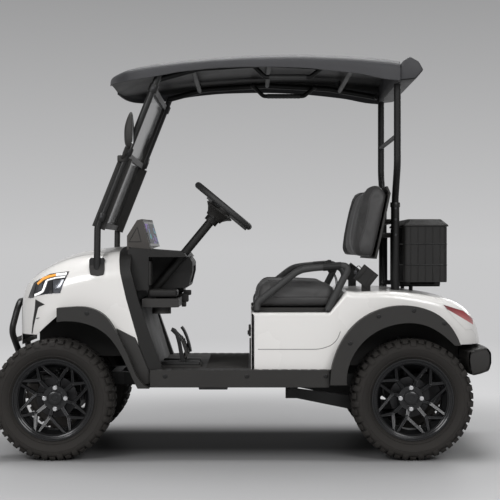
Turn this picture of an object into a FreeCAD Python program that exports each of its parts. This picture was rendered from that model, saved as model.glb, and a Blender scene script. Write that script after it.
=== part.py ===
import FreeCAD
import Part
import math
import os

# Two-seat golf cart, in millimetres
# Front at -X, left side at -Y, up +Z, ground at Z = 0, origin under the middle of the cart

# Driving dimensions
wheelbase = 1710.0
track = 950.0
tyre_radius = 288.0
tyre_width = 250.0
front_axle_x = -904.0
rear_axle_x = front_axle_x + wheelbase
axle_z = tyre_radius
wheel_y = track / 2
body_half_width = 545.0
wall = 4.0
overrun = 20.0
gap = 0.3
turning_gap = 0.05
corner_share = 0.46

# Wheels
rim_seat_radius = 178.0
rim_lip_radius = 195.0
rim_half_width = 95.0
rim_wall = 7.0
rim_drop = 22.0
rim_well_half = 40.0
bead_seat_half = 58.0
flange_thickness = 7.0
bead_half_width = 84.0
side_rise = 12.0
side_reach = 100.0
bulge_radius = 238.0
shoulder_radius = 276.0
shoulder_half_width = 116.0
tread_half_width = 96.0
hub_radius = 62.0
hub_front = -15.0
hub_back = 50.0
hub_boss_radius = 46.0
hub_disc = 26.0
cap_radius = 33.0
cap_proud = 9.0
spoke_tip_y = -84.0
spoke_depth = 24.0
spoke_root_width = 20.0
spoke_tip_width = 13.0
stud_circle_radius = 50.8
nut_radius = 9.5
nut_proud = 8.0
lug_count = 4
# Vertex angle and radius share, then the two tip angles, of the two forks beside each nut
spoke_shares = (
    (-14.0, 0.47, -25.0, 20.0),
    (38.0, 0.585, 27.0, 60.0),
)
spindle_radius = 22.0
spindle_end = -5.0
drum_radius = 98.0
drum_thickness = 10.0

# Steering and front suspension
kingpin_y = 360.0
kingpin_radius = 10.0
knuckle_radius = 24.0
arm_eye_height = 24.0
arm_eye_radius = 20.0
upper_ball_z = 365.0
lower_ball_z = 225.0
steer_arm_length = 120.0
steer_arm_z = 298.0
steer_arm_height = 12.0
steer_arm_width = 24.0
tie_rod_radius = 9.0
tie_pin_radius = 6.0
tie_eye_radius = 13.0
tie_eye_height = 22.0
pitman_y = -60.0
steering_box_size = (90.0, 80.0, 70.0)
subframe_y = 165.0
pivot_spread = 90.0
lower_pivot_spread = 70.0
wishbone_radius = 11.0
pivot_radius = 15.0
shock_seat_size = (80.0, 28.0, 16.0)
shock_radius = 27.0
shock_rod_radius = 9.0
shock_eye_radius = 14.0
shock_eye_half = 15.0
shock_foot_y = 290.0
shock_head_y = 225.0
shock_head_z = 520.0
spring_start_share = 0.30
spring_end_share = 0.90

# Chassis
rail_width = 40.0
rail_low = 330.0
rail_top = 390.0
rail_front_y = 150.0
upper_pivot_y = rail_front_y + rail_width + gap + pivot_radius
rail_rear_y = 260.0
rail_front_x = -1085.0
rail_neck_x = -600.0
rail_waist_x = -440.0
rail_rear_x = 1090.0
cross_member_width = 50.0
cross_member_x = (-1060.0, -640.0, -350.0, 0.0, 450.0, 1060.0)
subframe_post = 30.0
lower_pivot_y = subframe_y + gap + pivot_radius
subframe_low = 210.0
outrigger_x = (-330.0, -20.0, 330.0)
outrigger_width = 60.0
hitch_tube_radius = 26.0
hitch_bore_radius = 16.0
hitch_length = 70.0
floor_top = 430.0
floor_thickness = 12.0
floor_half_width = 480.0
floor_front_x = -410.0
seat_box_x = 37.0

# Rear axle
axle_tube_radius = 34.0
differential_radius = 92.0
differential_width = 120.0
motor_radius = 82.0
motor_length = 230.0
motor_offset = 132.0
trailing_arm_y = 320.0
trailing_arm_x = 238.0
trailing_arm_z = 300.0
trailing_arm_height = 46.0
trailing_arm_width = 22.0
trailing_arm_seat_z = axle_z - axle_tube_radius - trailing_arm_height / 2
rear_shock_y = 316.0
rear_shock_radius = 22.0
rear_tower_width = 30.0
rear_shock_foot_z = axle_z + axle_tube_radius + gap + shock_eye_radius
rear_shock_head_z = 560.0
rear_shock_head_x = 760.0

# Battery
battery_length = 340.0
battery_width = 820.0
battery_height = 230.0
battery_x = 78.0

# Sills
sill_half_width = 580.0
sill_low = 348.0
sill_front_x = -441.0
sill_rear_x = 408.0

# Front cowl, nose to dash: shares of length, half width, height, then corner and crown of half width
cowl_nose_x = -1105.0
cowl_rear_x = -500.0
cowl_low = 530.0
cowl_top = 1022.0
chin_half_width = 250.0
cowl_station_shares = (
    (0.00, 0.40, 0.46, 0.17, 0.05),
    (0.05, 0.68, 0.615, 0.22, 0.065),
    (0.14, 0.85, 0.735, 0.25, 0.075),
    (0.30, 0.965, 0.855, 0.27, 0.085),
    (0.43, 0.99, 0.92, 0.27, 0.085),
    (0.60, 1.00, 0.965, 0.265, 0.08),
    (0.79, 1.00, 0.99, 0.26, 0.075),
    (1.00, 1.00, 1.00, 0.255, 0.07),
    (1.19, 1.00, 1.00, 0.255, 0.07),
)
# Curve of the white cowl's rear edge: shares of tyre radius from the front wheel's centre
cowl_edge_shares = ((1.06, 2.60), (1.08, 2.28), (1.10, 2.10), (1.205, 1.646), (1.39, 1.0), (1.45, 0.60))
trim_edge_shares = ((1.27, 2.60), (1.27, 2.15), (1.40, 1.646), (1.60, 1.07), (1.80, 0.50))
# Lower edge of the white cowl from nose to flare, in the same shares
cowl_arch_shares = (
    (-0.80, 1.055), (-0.30, 1.06), (-0.125, 1.22), (0.083, 1.40), (0.45, 1.42),
    (0.75, 1.32), (0.98, 1.08), (1.16, 0.75), (1.40, 0.10), (1.40, -0.9), (-0.80, -0.9),
)

# Flares: outer and inner edges, shares of tyre radius from the wheel's centre
flare_half_width = 615.0
flare_inner_y = 490.0
front_flare_outer_shares = (
    (0.083, 1.521), (0.30, 1.538), (0.625, 1.521), (0.87, 1.389), (1.035, 1.16),
    (1.28, 0.667), (1.497, 0.27), (1.60, 0.20),
)
front_flare_inner_shares = (
    (0.083, 1.29), (0.556, 1.264), (0.88, 1.10), (1.094, 0.837), (1.29, 0.448), (1.41, 0.20),
)
rear_flare_outer_shares = (
    (-1.37, 0.257), (-1.21, 0.913), (-0.88, 1.32), (-0.47, 1.52), (-0.06, 1.555),
    (0.43, 1.39), (0.69, 1.09), (0.77, 0.905),
)
rear_flare_inner_shares = (
    (-1.10, 0.257), (-0.955, 0.806), (-0.642, 1.115), (-0.236, 1.262), (0.174, 1.24),
    (0.5, 1.06), (0.67, 0.905),
)

# Rear body: shares of length, half width and height, then corner and crown of half width
body_low = floor_top + gap
seat_rim_z = 703.0
deck_z = 812.0
tail_x = 1165.0
body_box_shares = ((0.0, 1.0, 0.62, 0.03, 0.002), (0.333, 1.0, 0.62, 0.03, 0.002))
body_ramp_shares = ((0.333, 1.0, 0.62, 0.03, 0.002), (0.405, 1.0, 0.87, 0.055, 0.015))
body_deck_shares = (
    (0.405, 1.00, 0.87, 0.055, 0.015),
    (0.54, 1.00, 0.868, 0.06, 0.018),
    (0.67, 0.998, 0.852, 0.07, 0.02),
    (0.765, 0.987, 0.818, 0.085, 0.022),
    (0.85, 0.955, 0.77, 0.105, 0.024),
    (0.907, 0.903, 0.70, 0.13, 0.026),
    (0.951, 0.826, 0.60, 0.15, 0.028),
    (0.982, 0.716, 0.465, 0.15, 0.028),
    (1.00, 0.56, 0.33, 0.12, 0.025),
)
body_height = 440.0
box_corner = 30.0
tail_cut_x = 985.0
seat_recess_rear_x = 486.0
seat_recess_half_width = 503.0
bay_front_x = 66.0
bay_rear_x = 430.0
bay_half_width = 440.0
rear_arch_shares = (
    (-1.22, -0.6), (-1.22, 0.257), (-1.08, 0.86), (-0.76, 1.22), (-0.35, 1.40), (0.05, 1.40),
    (0.46, 1.22), (0.70, 0.98), (0.76, 0.80), (0.80, -0.6),
)

# Lamps: side outlines in shares of the cowl's length and height, and of the tail's
headlamp_shares = (
    (0.105, 0.485), (0.15, 0.635), (0.29, 0.722), (0.45, 0.748), (0.375, 0.545), (0.25, 0.525),
)
headlamp_inner_y = 235.0
headlamp_depth = 34.0
lamp_proud = 3.0
grille_shares = ((-0.04, 0.38), (-0.04, 0.60), (0.13, 0.60), (0.085, 0.38))
grille_slot_shares = ((-0.04, 0.36), (0.16, 0.36), (0.10, 0.07), (-0.04, 0.07))
grille_half_width = 232.0
slot_pitch = 62.0
slot_width = 26.0
slot_count = 4
taillamp_shares = (
    (0.815, 0.70), (0.905, 0.628), (0.952, 0.540), (0.952, 0.43), (0.915, 0.42), (0.86, 0.56),
)
taillamp_inner_y = 330.0

# Bumpers
rear_bumper_x = 1192.0
rear_bumper_low = 400.0
rear_bumper_top = 546.0
rear_bumper_depth = 46.0
rear_bumper_half_width = 545.0
rear_bumper_corner = 130.0
rear_bumper_front_x = 1000.0
rear_bumper_clearance = 14.0
tail_low = rear_bumper_top + gap
bull_bar_radius = 16.0
bull_bar_half_width = 235.0
bull_bar_x = -1143.0
bull_bar_lean = 22.0
bull_bar_low = 452.0
bull_bar_top = 742.0
bull_bar_bend = 70.0
bull_plate_x = -1112.0
bull_plate_y = 120.0
bull_plate_size = (12.0, 60.0)
bull_foot_share = 0.55
bull_shoulder_share = 0.86
bull_cross_share = 0.8
bull_cross_height_share = 0.33

# Posts, windscreen and roof
strut_radius = 16.0
strut_y = 524.0
foot_inner_y = 430.0
strut_foot = (-699.0, 885.0)
strut_knee = (-696.0, 1118.0)
strut_elbow = (-664.0, 1184.0)
strut_head = (-405.0, 1836.0)
strut_bend = 120.0
foot_plate_size = (74.0, 78.0)
foot_plate_thickness = 14.0
screen_half_width = strut_y - strut_radius - gap
screen_bar_width = 26.0
screen_bar_depth = 62.0
screen_glass_thickness = 6.0
screen_low_share = -0.12
screen_hinge_share = 0.40
screen_top_share = 0.93
mirror_x = -541.0
mirror_y = 588.0
mirror_z = 1568.0
mirror_size = (44.0, 96.0, 186.0)
mirror_stem_radius = 7.0
roof_front_x = -666.0
roof_rear_x = 747.0
roof_half_width = 580.0
roof_datum_z = 1804.0
roof_rise = 154.0
roof_wall = 8.0
# Shares of length and half width, then of rise: lower edge, top, corner radius and crown
roof_station_shares = (
    (0.000, 0.28, 0.04, 0.13, 0.04, 0.03),
    (0.018, 0.66, 0.02, 0.24, 0.10, 0.06),
    (0.047, 0.85, 0.01, 0.36, 0.16, 0.09),
    (0.084, 0.945, 0.02, 0.48, 0.20, 0.11),
    (0.151, 0.99, 0.09, 0.62, 0.24, 0.13),
    (0.279, 1.00, 0.29, 0.79, 0.24, 0.15),
    (0.407, 1.00, 0.395, 0.90, 0.24, 0.16),
    (0.534, 1.00, 0.42, 0.97, 0.25, 0.17),
    (0.665, 1.00, 0.39, 1.00, 0.26, 0.18),
    (0.764, 1.00, 0.31, 0.98, 0.27, 0.18),
    (0.866, 1.00, 0.20, 0.92, 0.28, 0.17),
    (0.950, 0.995, 0.05, 0.85, 0.30, 0.16),
    (1.000, 0.975, 0.00, 0.78, 0.30, 0.15),
)
# Rear fin outline: shares of its own length and height behind the roof's rear edge
fin_length = 112.0
fin_height = 118.0
fin_half_width = 552.0
fin_shares = ((-0.03, 0.02), (-0.03, 0.50), (0.14, 0.84), (0.42, 1.0), (0.80, 0.80), (1.0, 0.46), (0.68, 0.10))
rail_tube_radius = 15.0
post_stub_radius = 12.0
roof_rail_y = 470.0
roof_rail_shares = ((0.185, 0.12), (0.32, 0.46), (0.55, 0.60), (0.80, 0.48), (0.986, 0.175))
roof_bow_shares = (0.30, 0.56, 0.84)
bow_radius = 12.0
handle_y = 440.0
handle_front_x = 49.0
handle_rear_x = 381.0
handle_drop = 56.0
handle_radius = 11.0
handle_knuckle_radius = 14.5
handle_foot_radius = 12.0
pillar_radius = 17.0
pillar_x = 745.0
pillar_top_y = 440.0
pillar_low_y = 332.0
pillar_bend_z = (1411.0, 1250.0)
pillar_bend = 90.0
pillar_sleeve_radius = 21.0
pillar_sleeve_z = 1222.0
cross_bar_z = (1555.0, 1142.0, 1074.0)
cross_bar_radius = 11.0

# Dash and cabin front: side outline in shares of its length and height
dash_front_x = -556.0
dash_length = 302.0
dash_low = 803.0
dash_height = 210.0
liner_inner_y = 478.0
dash_half_width = liner_inner_y - gap
dash_shares = ((0.0, 0.0), (0.0, 1.0), (0.34, 0.955), (0.88, 0.90), (1.0, 0.66), (1.0, 0.44), (0.93, 0.04))
dash_corner = 22.0
bin_inner_y = 240.0
bin_front_x = -455.0
bin_lid = 26.0
glove_half_width = 150.0
glove_y = 60.0
glove_depth = 130.0
glove_low_share = 0.14
glove_height_share = 0.42
kick_foot_x = -404.0
kick_head_x = -516.0
kick_thickness = 6.0
tray_front_x = -488.0
tray_rear_x = -312.0
tray_z = 724.0
tray_height = 42.0
cup_radius = 46.0
cup_depth = 33.0
cup_wall = 4.0
cup_y = 385.0
cup_x = -398.0
display_x = -491.0
display_y = -285.0
display_width = 250.0
display_turn = 7.5
display_shares = ((0.0, 0.0), (0.0, 0.45), (0.42, 0.96), (0.64, 1.0), (1.0, 0.0))
display_length = 118.0
display_height = 150.0
display_sink = 12.0
column_y = -270.0
column_low = (-388.0, 827.0)
wheel_hub_x = -99.0
wheel_hub_z = 1218.0
column_angle = 50.5
column_radius = 21.0
column_tail = 60.0
steering_wheel_radius = 161.0
steering_rim_radius = 14.5
steering_hub_radius = 34.0
steering_hub_depth = 46.0
steering_dish = 18.0
steering_spoke_width = 34.0
steering_spoke_height = 14.0
steering_spoke_angles = (0.0, 115.0, 245.0)
column_collar_radius = 34.0
column_collar_length = 60.0
stalk_radius = 6.0
stalk_length = 110.0
pedal_y = (-310.0, -190.0)
pedal_width = 76.0
pedal_x = -318.0
pedal_top = 600.0
pedal_thickness = 10.0
pedal_lean = 46.0
pedal_mat_x = (-396.0, -206.0)
pedal_mat_height = 8.0

# Seat: cushion and backrest outlines in shares of their own length and height
seat_front_x = 50.0
seat_length = 420.0
seat_half_width = 492.0
seat_base_height = 20.0
cushion_low = seat_rim_z + seat_base_height + 2 * gap
cushion_height = 124.0
cushion_shares = ((0.0, 0.0), (0.0, 0.70), (0.05, 0.96), (0.14, 1.0), (0.88, 0.90), (1.0, 0.68), (0.97, 0.0))
cushion_corner = 26.0
hinge_radius = 8.0
hinge_y = 300.0
hinge_length = 70.0
backrest_low = 946.0
backrest_height = 380.0
backrest_x = 526.0
backrest_length = 178.0
backrest_half_width = 470.0
backrest_shares = ((0.0, 0.03), (0.40, 0.955), (0.53, 1.0), (0.84, 0.99), (0.98, 0.86), (0.60, 0.03), (0.35, 0.0))
backrest_corner = 26.0
pad_shares = ((-0.06, 0.06), (0.32, 0.88), (0.40, 0.92), (0.55, 0.93), (0.40, 0.10))
pad_half_width = 372.0
pad_corner = 22.0
shell_thickness = 10.0
shell_shares = ((0.60, 0.03), (0.98, 0.86), (0.90, 0.95))
bracket_y = 230.0
bracket_radius = 12.0
armrest_y = 524.0
armrest_radius = 14.0
armrest_bend = 55.0
armrest_shares = ((0.0, 0.0), (0.0, 0.20), (0.45, 0.90), (0.62, 0.95), (1.0, 1.0), (0.745, 0.0))
armrest_x = 66.0
armrest_length = 445.0
armrest_z = 703.0
armrest_height = 224.0
armrest_pad_radius = 19.0
belt_reel_centre = (590.0, 872.0)
belt_reel_side = 84.0
belt_reel_angle = 38.0
belt_reel_y = 478.0
belt_reel_width = 44.0

# Basket behind the seat
basket_x = (786.0, 1000.0)
basket_half_width = 340.0
basket_low = 842.0
basket_top = 1152.0
basket_rim_height = 36.0
basket_rim_inset = 26.0
basket_rim_proud = 7.0
basket_wall = 5.0
basket_corner = 22.0
carrier_tube_radius = 12.0
carrier_foot_radius = 10.0
carrier_y = 200.0
carrier_foot_x = 836.0


def at(x, y, z):
    return FreeCAD.Vector(x, y, z)


def block(xs, ys, zs):
    corner = at(min(xs), min(ys), min(zs))
    return Part.makeBox(abs(xs[1] - xs[0]), abs(ys[1] - ys[0]), abs(zs[1] - zs[0]), corner)


def centred_block(centre, size):
    corner = centre - at(*size) / 2
    return Part.makeBox(*size, corner)


def rod(start, end, radius):
    run = end - start
    return Part.makeCylinder(radius, run.Length, start, run)


def joined(shapes):
    return shapes[0].multiFuse(shapes[1:]).removeSplitter()


def mirrored(shape):
    return shape.mirror(at(0, 0, 0), at(0, 1, 0))


def both_sides(shape):
    return Part.makeCompound([shape, mirrored(shape)])


def softened(points, radius, closed=False):
    """Straight runs through the points, joined by tangent arcs."""
    count = len(points)
    turns = range(count) if closed else range(1, count - 1)
    trims = {}
    arcs = {}
    for index in turns:
        here = points[index]
        back = points[index - 1] - here
        ahead = points[(index + 1) % count] - here
        half = back.getAngle(ahead) / 2
        trim = min(radius / math.tan(half), corner_share * min(back.Length, ahead.Length))
        bend = trim * math.tan(half)
        back.normalize()
        ahead.normalize()
        inward = (back + ahead).normalize()
        enter = here + back * trim
        leave = here + ahead * trim
        middle = here + inward * (bend / math.sin(half) - bend)
        trims[index] = (enter, leave)
        arcs[index] = Part.Arc(enter, middle, leave).toShape()
    edges = []
    last = count if closed else count - 1
    for index in range(last):
        after = (index + 1) % count
        start = trims[index][1] if index in trims else points[index]
        end = trims[after][0] if after in trims else points[after]
        edges.append(Part.makeLine(start, end))
        if after in arcs:
            edges.append(arcs[after])
    return edges


def tube(points, radius, bend):
    """A round bar along straight runs and tangent arcs."""
    path = Part.Wire(softened(points, bend))
    ring = Part.Wire([Part.Circle(points[0], points[1] - points[0], radius).toShape()])
    return path.makePipeShell([ring], True, False)


def prism(points, run, corner=0.0):
    """A solid whose end face is the outline through the points."""
    edges = softened(points, corner, True) if corner else Part.makePolygon(points + points[:1]).Edges
    return Part.Face(Part.Wire(edges)).extrude(run)


def side_prism(outline, y_start, y_end, corner=0.0):
    """A solid across the cart with a side outline of (x, z) pairs."""
    points = [at(x, y_start, z) for x, z in outline]
    return prism(points, at(0, y_end - y_start, 0), corner)


def plan_prism(outline, z_start, z_end, corner=0.0):
    """An upright solid with a plan outline of (x, y) pairs."""
    points = [at(x, y, z_start) for x, y in outline]
    return prism(points, at(0, 0, z_end - z_start), corner)


def scaled_outline(shares, x, length, z, height):
    return [(x + share_x * length, z + share_z * height) for share_x, share_z in shares]


def wheel_outline(shares, axle_x):
    return scaled_outline(shares, axle_x, tyre_radius, axle_z, tyre_radius)


def curve_edge(outline, y):
    curve = Part.BSplineCurve()
    curve.interpolate([at(x, y, z) for x, z in outline])
    return curve.toShape()


def curved_band(outer, inner, y_start, y_end):
    """A solid between two smooth side curves of (x, z) pairs."""
    upper = curve_edge(outer, y_start)
    lower = curve_edge(inner, y_start)
    ends = [
        Part.makeLine(at(outer[0][0], y_start, outer[0][1]), at(inner[0][0], y_start, inner[0][1])),
        Part.makeLine(at(outer[-1][0], y_start, outer[-1][1]), at(inner[-1][0], y_start, inner[-1][1])),
    ]
    wire = Part.Wire(Part.__sortEdges__([upper, lower] + ends))
    return Part.Face(wire).extrude(at(0, y_end - y_start, 0))


def crowned_section(x, half_width, low, top, corner, crown, drop):
    """A section across the cart: upright sides, round corners and a crowned top, all tangent."""
    arch = (half_width ** 2 + crown ** 2) / (2 * crown)
    inner = half_width - corner
    arch_z = top - arch
    corner_z = arch_z + math.sqrt((arch - corner) ** 2 - inner ** 2)
    lean = math.atan2(corner_z - arch_z, inner)
    join_y = arch * math.cos(lean)
    join_z = arch_z + arch * math.sin(lean)
    bend_y = inner + corner * math.cos(lean / 2)
    bend_z = corner_z + corner * math.sin(lean / 2)
    foot = low - drop
    return Part.Wire([
        Part.makeLine(at(x, half_width, foot), at(x, half_width, corner_z)),
        Part.Arc(at(x, half_width, corner_z), at(x, bend_y, bend_z), at(x, join_y, join_z)).toShape(),
        Part.Arc(at(x, join_y, join_z), at(x, 0, top), at(x, -join_y, join_z)).toShape(),
        Part.Arc(at(x, -join_y, join_z), at(x, -bend_y, bend_z), at(x, -half_width, corner_z)).toShape(),
        Part.makeLine(at(x, -half_width, corner_z), at(x, -half_width, foot)),
        Part.makeLine(at(x, -half_width, foot), at(x, half_width, foot)),
    ])


def hull(stations, drop, straight=False):
    """A solid through sections given as x, half width, low, top, corner and crown."""
    wires = [crowned_section(*station, drop) for station in stations]
    return Part.makeLoft(wires, True, straight)


def grown(stations, amount, front=0.0, rear=0.0):
    """Stations moved outwards by an amount, with the first and last moved along the cart."""
    changed = [[x, width + amount, low, top + amount, *rest] for x, width, low, top, *rest in stations]
    changed[0][0] -= front
    changed[-1][0] += rear
    return changed


def bar(start, end, start_width, end_width, depth):
    """A tapered bar in a wheel's plane, its face on the line and its depth along +Y."""
    run = end - start
    side = at(-run.z, 0, run.x).normalize()
    wires = []
    for place, width in ((start, start_width), (end, end_width)):
        edge = side * (width / 2)
        back = at(0, depth, 0)
        corners = [place - edge, place + edge, place + edge + back, place - edge + back]
        wires.append(Part.makePolygon(corners + corners[:1]))
    return Part.makeLoft(wires, True, True)


def revolved(profile):
    """A ring about the Y axis from (radius, y) pairs."""
    points = [at(radius, y, 0) for radius, y in profile]
    face = Part.Face(Part.Wire(Part.makePolygon(points + points[:1]).Edges))
    return face.revolve(at(0, 0, 0), at(0, 1, 0), 360)


# Wheels, built at the origin with the outer side at -Y

def tyre_shape():
    half = tyre_width / 2
    crown = [
        (rim_seat_radius + gap, gap - bead_half_width),
        (rim_lip_radius + gap, gap + flange_thickness - rim_half_width),
        (rim_lip_radius + side_rise, -side_reach),
        (bulge_radius, -half),
        (shoulder_radius, -shoulder_half_width),
        (tyre_radius, -tread_half_width),
    ]
    return revolved(crown + [(radius, -y) for radius, y in reversed(crown)])


def rim_shape():
    well = rim_seat_radius - rim_drop
    outer = [
        (rim_lip_radius, -rim_half_width),
        (rim_lip_radius, flange_thickness - rim_half_width),
        (rim_seat_radius, -bead_half_width),
        (rim_seat_radius, -bead_seat_half),
        (well, -rim_well_half),
    ]
    inner = [(radius - rim_wall, y) for radius, y in outer[1:]]
    edge = [(rim_lip_radius - rim_wall, -rim_half_width)]
    outer_line = outer + [(radius, -y) for radius, y in reversed(outer)]
    inner_line = edge + inner + [(radius, -y) for radius, y in reversed(edge + inner)]
    parts = [revolved(outer_line + inner_line[::-1])]
    parts.append(rod(at(0, hub_front, 0), at(0, hub_front + hub_disc, 0), hub_radius))
    parts.append(rod(at(0, hub_front, 0), at(0, hub_back, 0), hub_boss_radius))
    parts.append(rod(at(0, hub_front - cap_proud, 0), at(0, hub_front, 0), cap_radius))
    reach = rim_seat_radius - rim_wall / 2
    for turn in range(lug_count):
        base = 360.0 * turn / lug_count
        nut = at(stud_circle_radius * math.cos(math.radians(base)), 0,
                 stud_circle_radius * math.sin(math.radians(base)))
        parts.append(rod(nut + at(0, hub_front - nut_proud, 0), nut + at(0, hub_front, 0), nut_radius))
        for vertex_angle, vertex_share, *tips in spoke_shares:
            vertex = spoke_point(base + vertex_angle, vertex_share * rim_lip_radius)
            root = spoke_point(base + vertex_angle, hub_radius - spoke_root_width / 2)
            parts.append(bar(root, vertex, spoke_root_width, spoke_root_width, spoke_depth))
            for tip_angle in tips:
                tip = spoke_point(base + tip_angle, reach)
                parts.append(bar(vertex, tip, spoke_root_width, spoke_tip_width, spoke_depth))
    wheel = joined(parts)
    bore = rod(at(0, spindle_end - gap, 0), at(0, hub_back + overrun, 0), spindle_radius + turning_gap)
    return wheel.cut(bore)


def spoke_point(angle, radius):
    """A point on the dished front of the spokes."""
    share = (radius - hub_radius) / (rim_lip_radius - hub_radius)
    y = hub_front + (spoke_tip_y - hub_front) * max(share, 0.0)
    return at(radius * math.cos(math.radians(angle)), y, radius * math.sin(math.radians(angle)))


def placed_wheel(shape, axle_x, side):
    """A wheel part moved to its corner; the right side is turned half way round."""
    moved = shape.copy()
    if side > 0:
        moved.rotate(at(0, 0, 0), at(0, 0, 1), 180)
    moved.translate(at(axle_x, side * wheel_y, axle_z))
    return moved


# Steering and front suspension

def knuckle():
    """The left upright with its spindle, backing plate, steering arm and pins."""
    x = front_axle_x
    y = -kingpin_y
    body_low = lower_ball_z + arm_eye_height / 2 + gap
    body_top = upper_ball_z - arm_eye_height / 2 - gap
    hub_inner = -wheel_y + hub_back
    arm_z = (steer_arm_z - steer_arm_height / 2, steer_arm_z + steer_arm_height / 2)
    end_x = x + steer_arm_length
    parts = [
        rod(at(x, y, body_low), at(x, y, body_top), knuckle_radius),
        rod(at(x, y, lower_ball_z - arm_eye_height / 2), at(x, y, upper_ball_z + arm_eye_height / 2),
            kingpin_radius),
        rod(at(x, y, axle_z), at(x, hub_inner + gap + drum_thickness, axle_z), knuckle_radius + wall),
        rod(at(x, y, axle_z), at(x, -wheel_y + spindle_end, axle_z), spindle_radius),
        rod(at(x, hub_inner + gap, axle_z), at(x, hub_inner + gap + drum_thickness, axle_z), drum_radius),
        block((x, end_x), (y - steer_arm_width / 2, y + steer_arm_width / 2), arm_z),
        rod(at(end_x, y, arm_z[0]), at(end_x, y, arm_z[1]), steer_arm_width / 2),
        rod(at(end_x, y, arm_z[0] - tie_eye_height - gap), at(end_x, y, arm_z[0]), tie_pin_radius),
    ]
    return joined(parts)


def tie_rod():
    """The rod that joins both steering arms, with an eye at each end and at the pitman arm."""
    x = front_axle_x + steer_arm_length
    top = steer_arm_z - steer_arm_height / 2 - gap
    low = top - tie_eye_height
    middle = (top + low) / 2
    parts = [rod(at(x, -kingpin_y, middle), at(x, kingpin_y, middle), tie_rod_radius)]
    places = (-kingpin_y, pitman_y, kingpin_y)
    for y in places:
        parts.append(rod(at(x, y, low), at(x, y, top), tie_eye_radius))
    solid = joined(parts)
    for y in places:
        solid = solid.cut(rod(at(x, y, low - overrun), at(x, y, top + overrun), tie_pin_radius + gap))
    return solid


def pitman_arm():
    x = front_axle_x
    z = (steer_arm_z - steer_arm_height / 2, steer_arm_z + steer_arm_height / 2)
    end_x = x + steer_arm_length
    half = steer_arm_width / 2
    return joined([
        rod(at(x, pitman_y, z[0]), at(x, pitman_y, z[1]), half + wall),
        block((x, end_x), (pitman_y - half, pitman_y + half), z),
        rod(at(end_x, pitman_y, z[0]), at(end_x, pitman_y, z[1]), half),
        rod(at(end_x, pitman_y, z[0] - tie_eye_height - gap), at(end_x, pitman_y, z[0]), tie_pin_radius),
    ])


def steering_box():
    """The gear housing over the pitman arm, with the jacket of its input shaft."""
    x = front_axle_x
    low = steer_arm_z + steer_arm_height / 2 + gap
    length, width, height = steering_box_size
    start = at(x + length / 2 - column_radius, pitman_y, low + height / 2)
    end = at(kick_head_x - overrun, column_y, dash_low - overrun)
    return joined([
        block((x - length / 2, x + length / 2), (pitman_y - width / 2, pitman_y + width / 2),
              (low, low + height)),
        rod(start, end, column_radius - wall),
    ])


def suspension_arms():
    """Upper and lower wishbones of the left side."""
    y = -kingpin_y
    solids = []
    levels = (
        (lower_ball_z, lower_pivot_y, lower_pivot_spread),
        (upper_ball_z, upper_pivot_y, pivot_spread),
    )
    for z, pivot_y, spread in levels:
        eye_low = z - arm_eye_height / 2
        eye_top = z + arm_eye_height / 2
        parts = [rod(at(front_axle_x, y, eye_low), at(front_axle_x, y, eye_top), arm_eye_radius)]
        for side in (-1, 1):
            pivot = at(front_axle_x + side * spread, -pivot_y, z)
            parts.append(rod(pivot, at(front_axle_x, y, z), wishbone_radius))
            parts.append(Part.makeSphere(pivot_radius, pivot))
        if z == lower_ball_z:
            centre = at(front_axle_x, -shock_foot_y, z + wishbone_radius - shock_seat_size[2] / 2)
            parts.append(centred_block(centre, shock_seat_size))
        solid = joined(parts)
        bore = rod(at(front_axle_x, y, eye_low - overrun), at(front_axle_x, y, eye_top + overrun),
                   kingpin_radius + gap)
        solids.append(solid.cut(bore))
    return Part.makeCompound(solids + [mirrored(solid) for solid in solids])


def coil_over(foot, head, radius, eye_axis):
    """A shock absorber with its spring as one sleeve, and an eye at each end."""
    run = head - foot
    length = run.Length
    run.normalize()
    spring_start = foot + run * (length * spring_start_share)
    spring_end = foot + run * (length * spring_end_share)
    half = eye_axis * shock_eye_half
    parts = [
        rod(foot, head, shock_rod_radius),
        rod(spring_start, spring_end, radius),
    ]
    for eye in (foot, head):
        parts.append(rod(eye - half, eye + half, shock_eye_radius))
    return joined(parts)


def shock_absorbers():
    front = coil_over(
        at(front_axle_x, -shock_foot_y, lower_ball_z + wishbone_radius + gap + shock_eye_radius),
        at(front_axle_x, -shock_head_y, shock_head_z), shock_radius, at(1, 0, 0))
    rear = coil_over(
        at(rear_axle_x, -rear_shock_y, rear_shock_foot_z),
        at(rear_shock_head_x, -rear_shock_y, rear_shock_head_z), rear_shock_radius, at(0, 1, 0))
    return Part.makeCompound([front, mirrored(front), rear, mirrored(rear)])


# Chassis and running gear

def rail():
    """The left chassis rail: narrow at the nose, wider under the floor."""
    front = rail_front_y
    rear = rail_rear_y
    inner = [(rail_front_x, -front), (rail_neck_x, -front), (rail_waist_x, -rear), (rail_rear_x, -rear)]
    outer = [(x, y - rail_width) for x, y in reversed(inner)]
    return plan_prism(inner + outer, rail_low, rail_top)


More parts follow.
